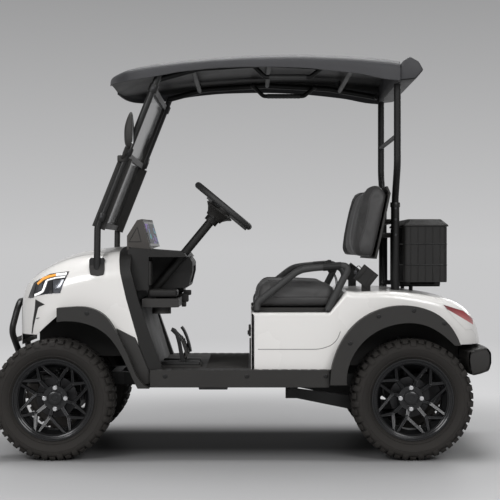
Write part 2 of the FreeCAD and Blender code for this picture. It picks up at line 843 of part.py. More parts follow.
def chassis_frame():
    left = rail()
    parts = [left, mirrored(left)]
    for x in cross_member_x:
        half_width = rail_front_y if x < rail_neck_x else rail_rear_y
        parts.append(block((x - cross_member_width / 2, x + cross_member_width / 2),
                           (-half_width, half_width), (rail_low, rail_top)))
    box_top = steer_arm_z + steer_arm_height / 2 + gap + steering_box_size[2]
    parts.append(block((front_axle_x - cross_member_width / 2, front_axle_x + cross_member_width / 2),
                       (-rail_front_y, rail_front_y), (box_top, rail_top + cross_member_width / 2)))
    for x in outrigger_x:
        parts.append(block((x - outrigger_width / 2, x + outrigger_width / 2),
                           (-floor_half_width, floor_half_width), (rail_top, floor_top - floor_thickness)))
    for x in (front_axle_x - lower_pivot_spread, front_axle_x + lower_pivot_spread):
        xs = (x - subframe_post / 2, x + subframe_post / 2)
        parts.append(block(xs, (-subframe_y, subframe_y), (subframe_low, subframe_low + subframe_post)))
        for side in (-1, 1):
            parts.append(block(xs, (side * subframe_y, side * (subframe_y - subframe_post)),
                               (subframe_low, rail_low)))
    for side in (-1, 1):
        tower_y = (side * rail_front_y, side * (rail_front_y + rail_width))
        parts.append(block((front_axle_x - subframe_post, front_axle_x + subframe_post), tower_y,
                           (rail_top, shock_head_z + subframe_post / 2)))
        pin_y = side * (shock_head_y - shock_eye_radius - gap)
        parts.append(rod(at(front_axle_x, side * rail_front_y, shock_head_z),
                         at(front_axle_x, pin_y, shock_head_z), shock_rod_radius))
        rear_y = (side * rail_rear_y, side * (rail_rear_y + rear_tower_width))
        parts.append(block((rear_shock_head_x - subframe_post, rear_shock_head_x + subframe_post), rear_y,
                           (rail_top, rear_shock_head_z + subframe_post / 2)))
        parts.append(rod(at(rear_shock_head_x, rear_y[0], rear_shock_head_z),
                         at(rear_shock_head_x, side * (rear_shock_y - shock_eye_half - gap),
                            rear_shock_head_z), shock_rod_radius))
        bracket_y = (side * (trailing_arm_y - trailing_arm_width / 2 - gap),
                     side * (rail_rear_y + wall))
        parts.append(block((trailing_arm_x - subframe_post, trailing_arm_x + subframe_post), bracket_y,
                           (trailing_arm_z - subframe_post, rail_low)))
    hitch_z = (rail_low + rail_top) / 2
    mouth = at(rail_rear_x + hitch_length - cross_member_width / 2, 0, hitch_z)
    root = mouth - at(hitch_length, 0, 0)
    parts.append(rod(root, mouth, hitch_tube_radius))
    return joined(parts).cut(rod(root, mouth + at(overrun, 0, 0), hitch_bore_radius))


def rear_axle():
    """Axle tube, differential, motor block, spindles and backing plates."""
    hub_inner = wheel_y - hub_back - gap
    z = axle_z
    x = rear_axle_x
    parts = [
        rod(at(x, -hub_inner, z), at(x, hub_inner, z), axle_tube_radius),
        rod(at(x, -wheel_y + spindle_end, z), at(x, wheel_y - spindle_end, z), spindle_radius),
        rod(at(x, -differential_width / 2, z), at(x, differential_width / 2, z), differential_radius),
        rod(at(x + motor_offset, -differential_width / 2, z),
            at(x + motor_offset, motor_length - differential_width / 2, z), motor_radius),
    ]
    for side in (-1, 1):
        parts.append(rod(at(x, side * (hub_inner - drum_thickness), z), at(x, side * hub_inner, z),
                         drum_radius))
        seat = (side * (trailing_arm_y - trailing_arm_width), side * (trailing_arm_y + trailing_arm_width / 2))
        parts.append(block((x - axle_tube_radius, x + axle_tube_radius), seat,
                           (trailing_arm_seat_z + trailing_arm_height / 2, axle_z)))
    return joined(parts)


def trailing_arms():
    """The left arm from its bracket on the rail to its seat under the axle."""
    run = at(rear_axle_x, 0, trailing_arm_seat_z) - at(trailing_arm_x, 0, trailing_arm_z)
    half = trailing_arm_height / 2
    outline = [
        (trailing_arm_x, trailing_arm_z + half),
        (rear_axle_x - axle_tube_radius, trailing_arm_seat_z + half - gap),
        (rear_axle_x + axle_tube_radius, trailing_arm_seat_z + half - gap),
        (rear_axle_x + axle_tube_radius, trailing_arm_seat_z - half / 2),
        (trailing_arm_x + run.x / 2, trailing_arm_seat_z - half / 2),
        (trailing_arm_x, trailing_arm_z - half),
    ]
    y = (-trailing_arm_y - trailing_arm_width / 2, -trailing_arm_y + trailing_arm_width / 2)
    arm = side_prism(outline, *y)
    eye = rod(at(trailing_arm_x, y[0], trailing_arm_z), at(trailing_arm_x, y[1], trailing_arm_z), half)
    return both_sides(joined([arm, eye]))


def battery_pack():
    low = floor_top - floor_thickness
    return block((battery_x, battery_x + battery_length), (-battery_width / 2, battery_width / 2),
                 (low, low + battery_height))


def floor_pan():
    return block((floor_front_x, seat_box_x - gap), (-floor_half_width, floor_half_width),
                 (floor_top - floor_thickness, floor_top))


def sills():
    """The left side skirt: a channel along the floor's edge."""
    outer = block((sill_front_x, sill_rear_x), (-sill_half_width, -floor_half_width), (sill_low, floor_top))
    hollow = block((sill_front_x + wall, sill_rear_x - wall), (-sill_half_width + wall, -floor_half_width + overrun),
                   (sill_low - overrun, floor_top - wall))
    return both_sides(outer.cut(hollow))


# Body panels

def cowl_stations():
    length = cowl_rear_x - cowl_nose_x
    height = cowl_top - cowl_low
    return [
        [cowl_nose_x + x_share * length, width_share * body_half_width, cowl_low,
         cowl_low + top_share * height, round_share * body_half_width,
         crown_share * body_half_width]
        for x_share, width_share, top_share, round_share, crown_share in cowl_station_shares
    ]


def rear_stations(shares):
    length = tail_x - seat_box_x
    return [
        [seat_box_x + x_share * length, width_share * body_half_width, body_low,
         body_low + top_share * body_height, round_share * body_half_width,
         crown_share * body_half_width]
        for x_share, width_share, top_share, round_share, crown_share in shares
    ]


def across_prism(outline):
    """A cutter right across the cart."""
    reach = sill_half_width + overrun
    return side_prism(outline, -reach, reach)


def lamp_zone(outline, inner_y):
    """Where both lamps of a pair lie, seen from the side."""
    reach = sill_half_width + overrun
    left = side_prism(outline, -reach, -inner_y)
    return left.fuse(mirrored(left))


def front_volume(amount, drop):
    """The front body as one solid, run on to the floor's front edge."""
    return hull(grown(cowl_stations(), amount, amount), drop)


def cowl_outline(shares):
    length = cowl_rear_x - cowl_nose_x
    return scaled_outline(shares, cowl_nose_x, length, cowl_low, cowl_top - cowl_low)


def front_cowl():
    """The white front shell, with its arches, its chin and its lamp pockets cut."""
    skin = front_volume(0.0, 0.0).cut(front_volume(-wall, overrun))
    rear_edge = wheel_outline(cowl_edge_shares, front_axle_x)
    far = cowl_rear_x + overrun
    behind = rear_edge + [(far, rear_edge[-1][1]), (far, rear_edge[0][1])]
    skin = skin.cut(across_prism(behind))
    arch = wheel_outline(cowl_arch_shares, front_axle_x)
    left_arch = side_prism(arch, -sill_half_width, -chin_half_width)
    skin = skin.cut(left_arch).cut(mirrored(left_arch))
    skin = skin.cut(lamp_zone(cowl_outline(headlamp_shares), headlamp_inner_y))
    skin = skin.cut(grille_zone())
    solids = sorted(skin.Solids, key=lambda solid: solid.Volume)
    return solids[-1]


def grille_zone():
    """Where the nose strip and the upright slots lie."""
    strip = side_prism(cowl_outline(grille_shares), -grille_half_width, grille_half_width)
    slots = []
    for index in range(slot_count):
        y = (index - (slot_count - 1) / 2) * slot_pitch * 2
        slots.append(side_prism(cowl_outline(grille_slot_shares), y - slot_width / 2, y + slot_width / 2))
    return joined([strip] + slots)


def front_grille():
    """The black nose strip and the slots under it, seated in the cowl's cut-outs."""
    core = front_volume(-wall * 2, overrun)
    backing = front_volume(-gap, 0.0).cut(core).common(grille_zone())
    inset = front_volume(-wall - gap, 0.0).cut(core)
    frame = side_prism(cowl_outline(((-0.04, 0.05), (-0.04, 0.61), (0.17, 0.61), (0.17, 0.05))),
                       -grille_half_width, grille_half_width)
    return joined([backing, inset.common(frame)])


def headlamps():
    zone = lamp_zone(cowl_outline(headlamp_shares), headlamp_inner_y + gap)
    lamps = front_volume(lamp_proud, 0.0).cut(front_volume(-headlamp_depth, overrun)).common(zone)
    return Part.makeCompound(lamps.Solids)


def flare(outer_shares, inner_shares, axle_x, body):
    """An arch lip: an upright face with a web back to the body, which it fits."""
    outer = wheel_outline(outer_shares, axle_x)
    inner = wheel_outline(inner_shares, axle_x)
    full = curved_band(outer, inner, -flare_half_width, -flare_inner_y)
    centre = at(axle_x, 0, axle_z)
    shrunk = []
    for x, z in outer:
        inward = (centre - at(x, 0, z)).normalize() * wall
        shrunk.append((x + inward.x, z + inward.z))
    deeper = []
    for x, z in inner:
        inward = (centre - at(x, 0, z)).normalize() * overrun
        deeper.append((x + inward.x, z + inward.z))
    hollow = curved_band(shrunk, deeper, -flare_half_width + wall, -flare_inner_y + overrun)
    return max(full.cut(hollow).cut(body).Solids, key=lambda solid: solid.Volume)


def wheel_flares():
    body = front_volume(gap, cowl_low - sill_low)
    front = flare(front_flare_outer_shares, front_flare_inner_shares, front_axle_x, body)
    rear = flare(rear_flare_outer_shares, rear_flare_inner_shares, rear_axle_x, rear_cover)
    return Part.makeCompound([front, rear, mirrored(front), mirrored(rear)])


def cowl_liner():
    """The black side bands behind the cowl, joined by the kick panel."""
    edge = wheel_outline(cowl_edge_shares, front_axle_x)
    back = wheel_outline(trim_edge_shares, front_axle_x)
    low_z = sill_low
    outline = edge + [(sill_front_x - overrun, low_z), (sill_front_x + overrun, low_z)] + back[::-1]
    cover = front_volume(-gap, cowl_low - sill_low)
    band = side_prism(outline, -body_half_width, -liner_inner_y).common(cover)
    band = band.cut(block((sill_front_x, floor_front_x + overrun * 2),
                          (-body_half_width, -liner_inner_y), (sill_low, floor_top + gap)))
    half = liner_inner_y
    kick = side_prism([
        (kick_foot_x, floor_top + gap), (kick_head_x, dash_low - gap),
        (kick_head_x - kick_thickness, dash_low - gap), (kick_foot_x - kick_thickness, floor_top + gap),
    ], -half, half)
    strip = side_prism(outline, -half, half).common(cover)
    strip = strip.common(block((cowl_nose_x, dash_front_x), (-half, half), (cowl_low, cowl_top + overrun)))
    strip = strip.cut(front_volume(-gap - wall, 0.0))
    return joined([band, mirrored(band), kick, strip])


def rear_hull(amount, rear, drop):
    """The rear body as one solid: seat box, ramp and deck."""
    box = grown(rear_stations(body_box_shares), amount, amount)
    ramp = grown(rear_stations(body_ramp_shares), amount)
    deck = grown(rear_stations(body_deck_shares), amount, 0.0, rear)
    solid = joined([
        hull(box, drop, True),
        hull(ramp, drop, True),
        hull(deck, drop),
    ])
    front = seat_box_x - amount - gap
    far = tail_x + rear + box_corner
    half = body_half_width + amount + gap
    plan = [(front, -half), (far, -half), (far, half), (front, half)]
    return solid.common(plan_prism(plan, body_low - drop - overrun, body_low + body_height, box_corner + amount))


rear_cover = rear_hull(gap, gap, body_low - sill_low)


def rear_body():
    """The white rear shell: seat box, shoulders, deck and tail, with a recess for the seat."""
    outer = rear_hull(0.0, 0.0, 0.0)
    inner = rear_hull(-wall, -wall, overrun)
    reach = deck_z + overrun
    recess = block((bay_front_x - overrun * 2, seat_recess_rear_x),
                   (-seat_recess_half_width, seat_recess_half_width), (seat_rim_z, reach))
    recess_skin = block((bay_front_x - overrun * 2, seat_recess_rear_x + wall),
                        (-seat_recess_half_width - wall, seat_recess_half_width + wall),
                        (seat_rim_z - wall, reach))
    skin = outer.cut(inner).fuse(outer.common(recess_skin)).cut(recess)
    bay = block((bay_front_x, bay_rear_x), (-bay_half_width, bay_half_width), (seat_rim_z - overrun, reach))
    arch = across_prism(wheel_outline(rear_arch_shares, rear_axle_x))
    tail = block((tail_cut_x, tail_x + overrun), (-sill_half_width, sill_half_width),
                 (body_low - overrun, tail_low))
    lamps = lamp_zone(taillamp_outline(), taillamp_inner_y)
    skin = skin.cut(bay).cut(arch).cut(tail).cut(lamps)
    return max(skin.Solids, key=lambda solid: solid.Volume)


def taillamp_outline():
    return scaled_outline(taillamp_shares, seat_box_x, tail_x - seat_box_x, body_low, body_height)


def tail_lamps():
    outer = rear_hull(lamp_proud, lamp_proud, 0.0)
    inner = rear_hull(-headlamp_depth, -headlamp_depth, overrun)
    zone = lamp_zone(taillamp_outline(), taillamp_inner_y + gap)
    return Part.makeCompound(outer.cut(inner).common(zone).Solids)


def rear_bumper():
    """A deep bar round the tail with rounded corners."""
    x = rear_bumper_x
    half = rear_bumper_half_width
    front = rear_bumper_front_x
    outline = [(front, -half), (x, -half), (x, half), (front, half)]
    depth = rear_bumper_depth
    hollow = [(front - overrun, -half + depth), (x - depth, -half + depth),
              (x - depth, half - depth), (front - overrun, half - depth)]
    outer = plan_prism(outline, rear_bumper_low, rear_bumper_top, rear_bumper_corner)
    inner = plan_prism(hollow, rear_bumper_low - overrun, rear_bumper_top + overrun,
                       rear_bumper_corner - depth)
    reach = half + overrun
    round_tyre = rod(at(rear_axle_x, -reach, axle_z), at(rear_axle_x, reach, axle_z),
                     tyre_radius + rear_bumper_clearance)
    return outer.cut(inner).cut(round_tyre)


def bull_bar():
    """A tube hoop in front of the nose on two plates."""
    low = bull_bar_low
    top = bull_bar_top
    half = bull_bar_half_width
    foot = half * bull_foot_share
    shoulder = half * bull_shoulder_share
    cross = half * bull_cross_share
    x = bull_bar_x
    hoop = tube([
        at(x + bull_bar_lean, -foot, low), at(x - bull_bar_lean / 2, -half, (low + top) / 2),
        at(x + bull_bar_lean, -shoulder, top), at(x + bull_bar_lean, shoulder, top),
        at(x - bull_bar_lean / 2, half, (low + top) / 2), at(x + bull_bar_lean, foot, low),
    ], bull_bar_radius, bull_bar_bend)
    parts = [hoop]
    mid_z = low + (top - low) * bull_cross_height_share
    parts.append(rod(at(x, -cross, mid_z), at(x, cross, mid_z), bull_bar_radius * bull_cross_share))
    parts.append(rod(at(x + bull_bar_lean, -foot, low), at(x + bull_bar_lean, foot, low),
                     bull_bar_radius))
    thick, tall = bull_plate_size
    for side in (-1, 1):
        plate_y = side * bull_plate_y
        parts.append(block((x + bull_bar_lean, rail_front_x + thick),
                           (plate_y - thick / 2, plate_y + thick / 2), (low - tall / 2, low + tall / 2)))
        parts.append(block((rail_front_x, rail_front_x + thick),
                           (plate_y - tall / 2, plate_y + tall / 2), (rail_top + gap, low + tall / 2)))
    return joined(parts)


# Posts, windscreen and roof

def front_struts():
    """The left post, from its plate on the cowl up to the roof rail."""
    y = -strut_y
    lead = [at(x, y, z) for x, z in (strut_foot, strut_knee, strut_elbow, strut_head)]
    post = tube(lead, strut_radius, strut_bend)
    wide, tall = foot_plate_size
    x, z = strut_foot
    outline = [(x - wide / 2, z), (x + wide / 2, z), (x + wide / 2, z + tall), (x - wide / 2, z + tall)]
    plate = side_prism(outline, y, -foot_inner_y, foot_plate_thickness)
    return joined([post, plate]).cut(front_volume(gap, 0.0))


def screen_point(share):
    """A point on the front line of the posts, from knee to head."""
    x = strut_elbow[0] + share * (strut_head[0] - strut_elbow[0])
    z = strut_elbow[1] + share * (strut_head[1] - strut_elbow[1])
    return x, z


def screen_slab(low_share, top_share, front, back):
    """The side outline of a slab along the posts, between two distances in front of them."""
    lean = math.atan2(strut_head[0] - strut_elbow[0], strut_head[1] - strut_elbow[1])
    ahead = (-math.cos(lean), math.sin(lean))
    low = screen_point(low_share)
    top = screen_point(top_share)
    return [
        (low[0] + ahead[0] * front, low[1] + ahead[1] * front),
        (top[0] + ahead[0] * front, top[1] + ahead[1] * front),
        (top[0] + ahead[0] * back, top[1] + ahead[1] * back),
        (low[0] + ahead[0] * back, low[1] + ahead[1] * back),
    ]


def windscreen_frame():
    """Wide side members of the lower pane, thin ones of the upper, and the bars across."""
    back = -screen_bar_depth / 2
    front = screen_bar_depth / 2
    parts = []
    half = screen_half_width
    inner = half - screen_bar_width
    for side in (-1, 1):
        ys = sorted((side * half, side * inner))
        parts.append(side_prism(screen_slab(screen_low_share, screen_hinge_share, front, back), *ys))
        parts.append(side_prism(screen_slab(screen_hinge_share, screen_top_share, front / 2, 0), *ys))
    step = screen_bar_width / (strut_head[1] - strut_elbow[1])
    for share in (screen_low_share, screen_hinge_share, screen_top_share - step):
        parts.append(side_prism(screen_slab(share, share + step, front / 2, 0), -inner, inner))
    return joined(parts)


def windscreen_glass():
    """The lower and the upper pane, in front of their frame."""
    step = screen_bar_width / (strut_head[1] - strut_elbow[1])
    edge = gap / (strut_head[1] - strut_elbow[1])
    front = (screen_bar_depth / 2 + screen_glass_thickness) / 2
    half = screen_half_width - screen_bar_width - gap
    panes = (
        (screen_low_share + step, screen_hinge_share),
        (screen_hinge_share + step, screen_top_share - step),
    )
    solids = []
    for low, top in panes:
        slab = screen_slab(low + edge, top - edge, front, front - screen_glass_thickness)
        solids.append(side_prism(slab, -half, half))
    return Part.makeCompound(solids)


def mirrors():
    """The left mirror: an upright housing on a stem from the post."""
    centre = at(mirror_x, -mirror_y, mirror_z)
    size = at(*mirror_size)
    x, y, z = centre - size / 2
    outline = [(x, y), (x + size.x, y), (x + size.x, y + size.y), (x, y + size.y)]
    housing = plan_prism(outline, z, z + size.z, size.x / 3)
    share = (mirror_z - size.z / 4 - strut_elbow[1]) / (strut_head[1] - strut_elbow[1])
    post_x, post_z = screen_point(share)
    stem = rod(at(post_x, -strut_y - strut_radius - gap, post_z),
               at(post_x, -mirror_y + size.y / 4, post_z), mirror_stem_radius)
    return both_sides(joined([housing, stem]))


def roof_stations():
    length = roof_rear_x - roof_front_x
    return [
        [roof_front_x + x_share * length, width_share * roof_half_width,
         roof_datum_z + low_share * roof_rise, roof_datum_z + top_share * roof_rise,
         round_share * roof_rise, crown_share * roof_rise]
        for x_share, width_share, low_share, top_share, round_share, crown_share in roof_station_shares
    ]


def roof_hollow(clearance):
    """The space under the canopy."""
    inset = -roof_wall - clearance
    return hull(grown(roof_stations(), inset, inset, inset), overrun * 2)


def roof():
    """The moulded canopy with its turned-down rim and the fin behind it."""
    outer = hull(roof_stations(), 0.0)
    inner = roof_hollow(0.0)
    fin_line = scaled_outline(fin_shares, roof_rear_x, fin_length, roof_datum_z, fin_height)
    fin = side_prism(fin_line, -fin_half_width, fin_half_width)
    return joined([outer.cut(inner), fin])


def roof_place(x_share, z_share):
    return roof_front_x + x_share * (roof_rear_x - roof_front_x), roof_datum_z + z_share * roof_rise


def bow_places():
    """Where each roof bow lies, as x and z."""
    span = roof_rear_x - roof_front_x
    return [(roof_front_x + share * span, rail_height(roof_front_x + share * span)) for share in roof_bow_shares]


def roof_rails():
    """The left roof rail with its hangers to the roof and its stubs to the posts."""
    places = [roof_place(*shares) for shares in roof_rail_shares]
    parts = [tube([at(x, -roof_rail_y, z) for x, z in places], rail_tube_radius, strut_bend * 2)]
    ceiling = roof_hollow(gap)
    for x, z in bow_places():
        hanger = rod(at(x, -roof_rail_y, z), at(x, -roof_rail_y, z + roof_rise / 2), bow_radius / 2)
        parts.append(hanger.common(ceiling))
    feet = (
        (places[0][0], strut_y - strut_radius - gap),
        (places[-1][0] - post_stub_radius / 2, pillar_top_y),
    )
    for x, y in feet:
        z = rail_height(x)
        parts.append(rod(at(x, -y, z), at(x, -roof_rail_y, z), post_stub_radius))
    return both_sides(joined(parts))


def roof_bows():
    """Cross bars between the roof rails."""
    reach = roof_rail_y - rail_tube_radius - gap
    return Part.makeCompound([rod(at(x, -reach, z), at(x, reach, z), bow_radius) for x, z in bow_places()])


def grab_handles():
    """The left handle, held at both ends by the roof rail."""
    handle = tube([
        at(handle_front_x, -handle_y, rail_height(handle_front_x)),
        at(handle_front_x + handle_drop, -handle_y, rail_height(handle_front_x) - handle_drop),
        at(handle_rear_x - handle_drop, -handle_y, rail_height(handle_front_x) - handle_drop),
        at(handle_rear_x, -handle_y, rail_height(handle_rear_x)),
    ], handle_radius, handle_drop / 2)
    parts = [handle]
    seat_y = rail_tube_radius + gap - roof_rail_y
    for x in (handle_front_x, handle_rear_x):
        end = at(x, -handle_y, rail_height(x))
        parts.append(Part.makeSphere(handle_knuckle_radius, end))
        parts.append(rod(end, at(x, seat_y, end.z), handle_foot_radius))
    return both_sides(joined(parts))


def rail_height(x):
    """The height of the roof rail's straight runs at x."""
    places = [roof_place(*shares) for shares in roof_rail_shares]
    for (x_start, z_start), (x_end, z_end) in zip(places, places[1:]):
        if x <= x_end:
            break
    return z_start + (z_end - z_start) * (x - x_start) / (x_end - x_start)


def rear_pillars():
    """Two posts drawn in at the waist, their cross bars and the basket's carrier."""
    top = roof_datum_z - gap
    bend_top, bend_low = pillar_bend_z
    foot = deck_z - overrun
    left = tube([
        at(pillar_x, -pillar_top_y, top), at(pillar_x, -pillar_top_y, bend_top),
        at(pillar_x, -pillar_low_y, bend_low), at(pillar_x, -pillar_low_y, foot),
    ], pillar_radius, pillar_bend)
    sleeve = rod(at(pillar_x, -pillar_low_y, foot), at(pillar_x, -pillar_low_y, pillar_sleeve_z),
                 pillar_sleeve_radius)
    parts = [left, mirrored(left), sleeve, mirrored(sleeve)]
    for z in cross_bar_z:
        y = pillar_top_y if z > bend_top else pillar_low_y
        parts.append(rod(at(pillar_x, -y, z), at(pillar_x, y, z), cross_bar_radius))
    shelf_z = basket_low - carrier_tube_radius - gap
    rear_x = basket_x[1] - overrun
    for side in (-1, 1):
        y = side * carrier_y
        parts.append(rod(at(pillar_x, y, cross_bar_z[2]), at(pillar_x, y, shelf_z), carrier_tube_radius))
        parts.append(rod(at(pillar_x, y, shelf_z), at(rear_x, y, shelf_z), carrier_tube_radius))
        parts.append(rod(at(carrier_foot_x, y, shelf_z), at(carrier_foot_x, y, foot - overrun),
                         carrier_foot_radius))
        parts.append(rod(at(pillar_x, side * pillar_low_y, shelf_z), at(pillar_x, y, shelf_z),
                         carrier_foot_radius))
    return joined(parts).cut(rear_cover)


# Cabin front

def dashboard():
    """The dash with an open glove box and an open bin at each end."""
    outline = scaled_outline(dash_shares, dash_front_x, dash_length, dash_low, dash_height)
    solid = side_prism(outline, -dash_half_width, dash_half_width, dash_corner)
    low = dash_low + glove_low_share * dash_height
    top = low + glove_height_share * dash_height
    rear = dash_front_x + dash_length
    box = block((rear - glove_depth, rear + overrun), (glove_y - glove_half_width, glove_y + glove_half_width),
                (low, top))
    solid = solid.cut(box)
    for side in (-1, 1):
        ys = (side * bin_inner_y, side * (dash_half_width + overrun))
        solid = solid.cut(block((bin_front_x, rear + overrun), ys,
                                (dash_low - overrun, dash_low + dash_height * dash_shares[3][1] - bin_lid)))
    return solid.cut(column_passage())


def console_tray():
    """A shelf under the dash with a cup holder on each side."""
    base = block((tray_front_x, tray_rear_x), (-dash_half_width, dash_half_width), (tray_z, tray_z + tray_height))
    recess = block((tray_front_x + cup_wall * 2, tray_rear_x - cup_wall * 2),
                   (-dash_half_width + cup_wall * 2, dash_half_width - cup_wall * 2),
                   (tray_z + cup_wall * 2, tray_z + tray_height + overrun))
    solid = base.cut(recess)
    for side in (-1, 1):
        y = side * cup_y
        low = tray_z - cup_depth
        cup = rod(at(cup_x, y, low), at(cup_x, y, tray_z + cup_wall * 2), cup_radius)
        solid = solid.fuse(cup)
    for side in (-1, 1):
        y = side * cup_y
        hole = rod(at(cup_x, y, tray_z - cup_depth + cup_wall), at(cup_x, y, tray_z + overrun),
                   cup_radius - cup_wall)
        solid = solid.cut(hole)
    return solid.cut(column_passage()).removeSplitter()


def display():
    z = dash_low + dash_height - display_sink
    outline = scaled_outline(display_shares, display_x - display_length / 2, display_length, z,
                             display_height)
    pod = side_prism(outline, display_y - display_width / 2, display_y + display_width / 2, wall)
    pod.rotate(at(display_x, display_y, z), at(0, 0, 1), -display_turn)
    under = scaled_outline(dash_shares, dash_front_x, dash_length, dash_low + gap, dash_height)
    return pod.cut(side_prism(under, -dash_half_width, dash_half_width)).cut(front_volume(gap, 0.0))


def column_axis():
    angle = math.radians(column_angle)
    return at(math.cos(angle), 0, math.sin(angle))


def column_point(distance):
    """A point on the steering axis, measured up from the wheel's hub."""
    return at(wheel_hub_x, column_y, wheel_hub_z) + column_axis() * distance


def column_reach():
    """How far the column's lower end lies below the hub."""
    low = at(column_low[0], column_y, column_low[1])
    return (at(wheel_hub_x, column_y, wheel_hub_z) - low).Length


def column_passage():
    """The clearance round the column."""
    return rod(column_point(-column_reach() - column_tail - overrun), column_point(0.0), column_radius + gap)


def steering_column():
    """The column's jacket with its collar and a stalk."""
    top = column_point(-steering_hub_depth - gap)
    collar_low = column_point(-steering_hub_depth - column_collar_length)
    stalk_root = column_point(-steering_hub_depth - column_collar_length / 2)
    return joined([
        rod(column_point(-column_reach() - column_tail), top, column_radius),
        rod(collar_low, top, column_collar_radius),
        rod(stalk_root, stalk_root + at(0, -stalk_length, 0), stalk_radius),
    ])


def steering_wheel():
    """Rim, three spokes and the hub, built on Z and turned onto the column."""
    rim = Part.makeTorus(steering_wheel_radius, steering_rim_radius)
    hub = rod(at(0, 0, -steering_hub_depth), at(0, 0, -steering_dish / 2), steering_hub_radius)
    parts = [rim, hub]
    for angle in steering_spoke_angles:
        spoke = centred_block(at(steering_wheel_radius / 2, 0, -steering_dish),
                              (steering_wheel_radius, steering_spoke_width, steering_spoke_height))
        spoke.rotate(at(0, 0, 0), at(0, 0, 1), angle)
        parts.append(spoke)
    wheel = joined(parts)
    wheel.rotate(at(0, 0, 0), at(0, 1, 0), 90 - column_angle)
    wheel.translate(column_point(0.0))
    return wheel


def pedals():
    """Two leaning plates on a mat."""
    mat = block(pedal_mat_x, (min(pedal_y) - pedal_width, max(pedal_y) + pedal_width),
                (floor_top + gap, floor_top + pedal_mat_height))
    parts = [mat]
    low = floor_top + pedal_mat_height
    for y in pedal_y:
        outline = [
            (pedal_x, low - gap), (pedal_x + pedal_lean, low + pedal_lean),
            (pedal_x + pedal_lean / 2, pedal_top - pedal_lean), (pedal_x - pedal_lean / 2, pedal_top),
            (pedal_x - pedal_lean / 2 - pedal_thickness, pedal_top),
            (pedal_x + pedal_lean / 2 - pedal_thickness, pedal_top - pedal_lean),
            (pedal_x + pedal_lean - pedal_thickness, low + pedal_lean), (pedal_x - pedal_thickness, low - gap),
        ]
        parts.append(side_prism(outline, y - pedal_width / 2, y + pedal_width / 2))
    return joined(parts)


# Seat

def seat_base():
    """The cushion's pan, with its two hinges at the front edge."""
    rear = seat_front_x + seat_length
    parts = [block((seat_front_x, rear), (-seat_half_width, seat_half_width),
                   (seat_rim_z + gap, seat_rim_z + gap + seat_base_height))]
    for side in (-1, 1):
        y = side * hinge_y
        pin = (at(hinge_x(), y - hinge_length / 2, hinge_z()), at(hinge_x(), y + hinge_length / 2, hinge_z()))
        parts.append(rod(*pin, hinge_radius))
    return joined(parts)


def hinge_x():
    return seat_front_x - hinge_radius / 2


def hinge_z():
    return seat_rim_z + gap + hinge_radius


def seat_cushion():
    outline = scaled_outline(cushion_shares, seat_front_x, seat_length, cushion_low, cushion_height)
    return side_prism(outline, -seat_half_width, seat_half_width, cushion_corner)


def backrest_outline(shares, clearance=0.0):
    return scaled_outline(shares, backrest_x + clearance, backrest_length, backrest_low, backrest_height)


def backrest():
    """The bolstered backrest with its thicker middle pad."""
    bolster = side_prism(backrest_outline(backrest_shares), -backrest_half_width, backrest_half_width,
                         backrest_corner)
    pad = side_prism(backrest_outline(pad_shares), -pad_half_width, pad_half_width, pad_corner)
    return joined([bolster, pad])


def backrest_shell():
    """The hard back panel, and the tubes that hold it to the rear posts."""
    line = backrest_outline(shell_shares, gap)
    offset = shell_thickness
    outline = line + [(x + offset, z) for x, z in reversed(line)]
    panel = side_prism(outline, -backrest_half_width, backrest_half_width)
    reach = backrest_half_width + overrun
    cushion = side_prism(backrest_outline(backrest_shares), -reach, reach, backrest_corner)
    panel = max(panel.cut(cushion).Solids, key=lambda solid: solid.Volume)
    parts = [panel]
    for side in (-1, 1):
        for z in cross_bar_z[1:]:
            y = side * bracket_y
            (low_x, low_z), (top_x, top_z) = line[0], line[1]
            start_x = low_x + (top_x - low_x) * (z - low_z) / (top_z - low_z) + offset / 2
            parts.append(rod(at(start_x, y, z), at(pillar_x - cross_bar_radius - gap, y, z), bracket_radius))
    return joined(parts)


def armrests():
    """The left armrest: a bent tube with a pad along its flat run."""
    places = scaled_outline(armrest_shares, armrest_x, armrest_length, armrest_z, armrest_height)
    places[0] = (places[0][0], seat_rim_z + gap)
    places[-1] = (places[-1][0], seat_rim_z + gap)
    line = [at(x, -armrest_y, z) for x, z in places]
    frame = tube(line, armrest_radius, armrest_bend)
    pad = rod(line[3] + (line[4] - line[3]) * corner_share / 2, line[4] - (line[4] - line[3]) / 4,
              armrest_pad_radius)
    return both_sides(joined([frame, pad]).cut(rear_cover))


def belt_reels():
    """The left belt reel, a tilted box on a foot."""
    x, z = belt_reel_centre
    side = belt_reel_side
    box = centred_block(at(x, -belt_reel_y, z), (side, belt_reel_width, side))
    box.rotate(at(x, 0, z), at(0, 1, 0), belt_reel_angle)
    thick = belt_reel_width / 4
    foot = block((x - side / 4, x + side / 4), (-belt_reel_y - thick, thick - belt_reel_y),
                 (deck_z - overrun, z))
    return joined([box, foot]).cut(rear_cover)


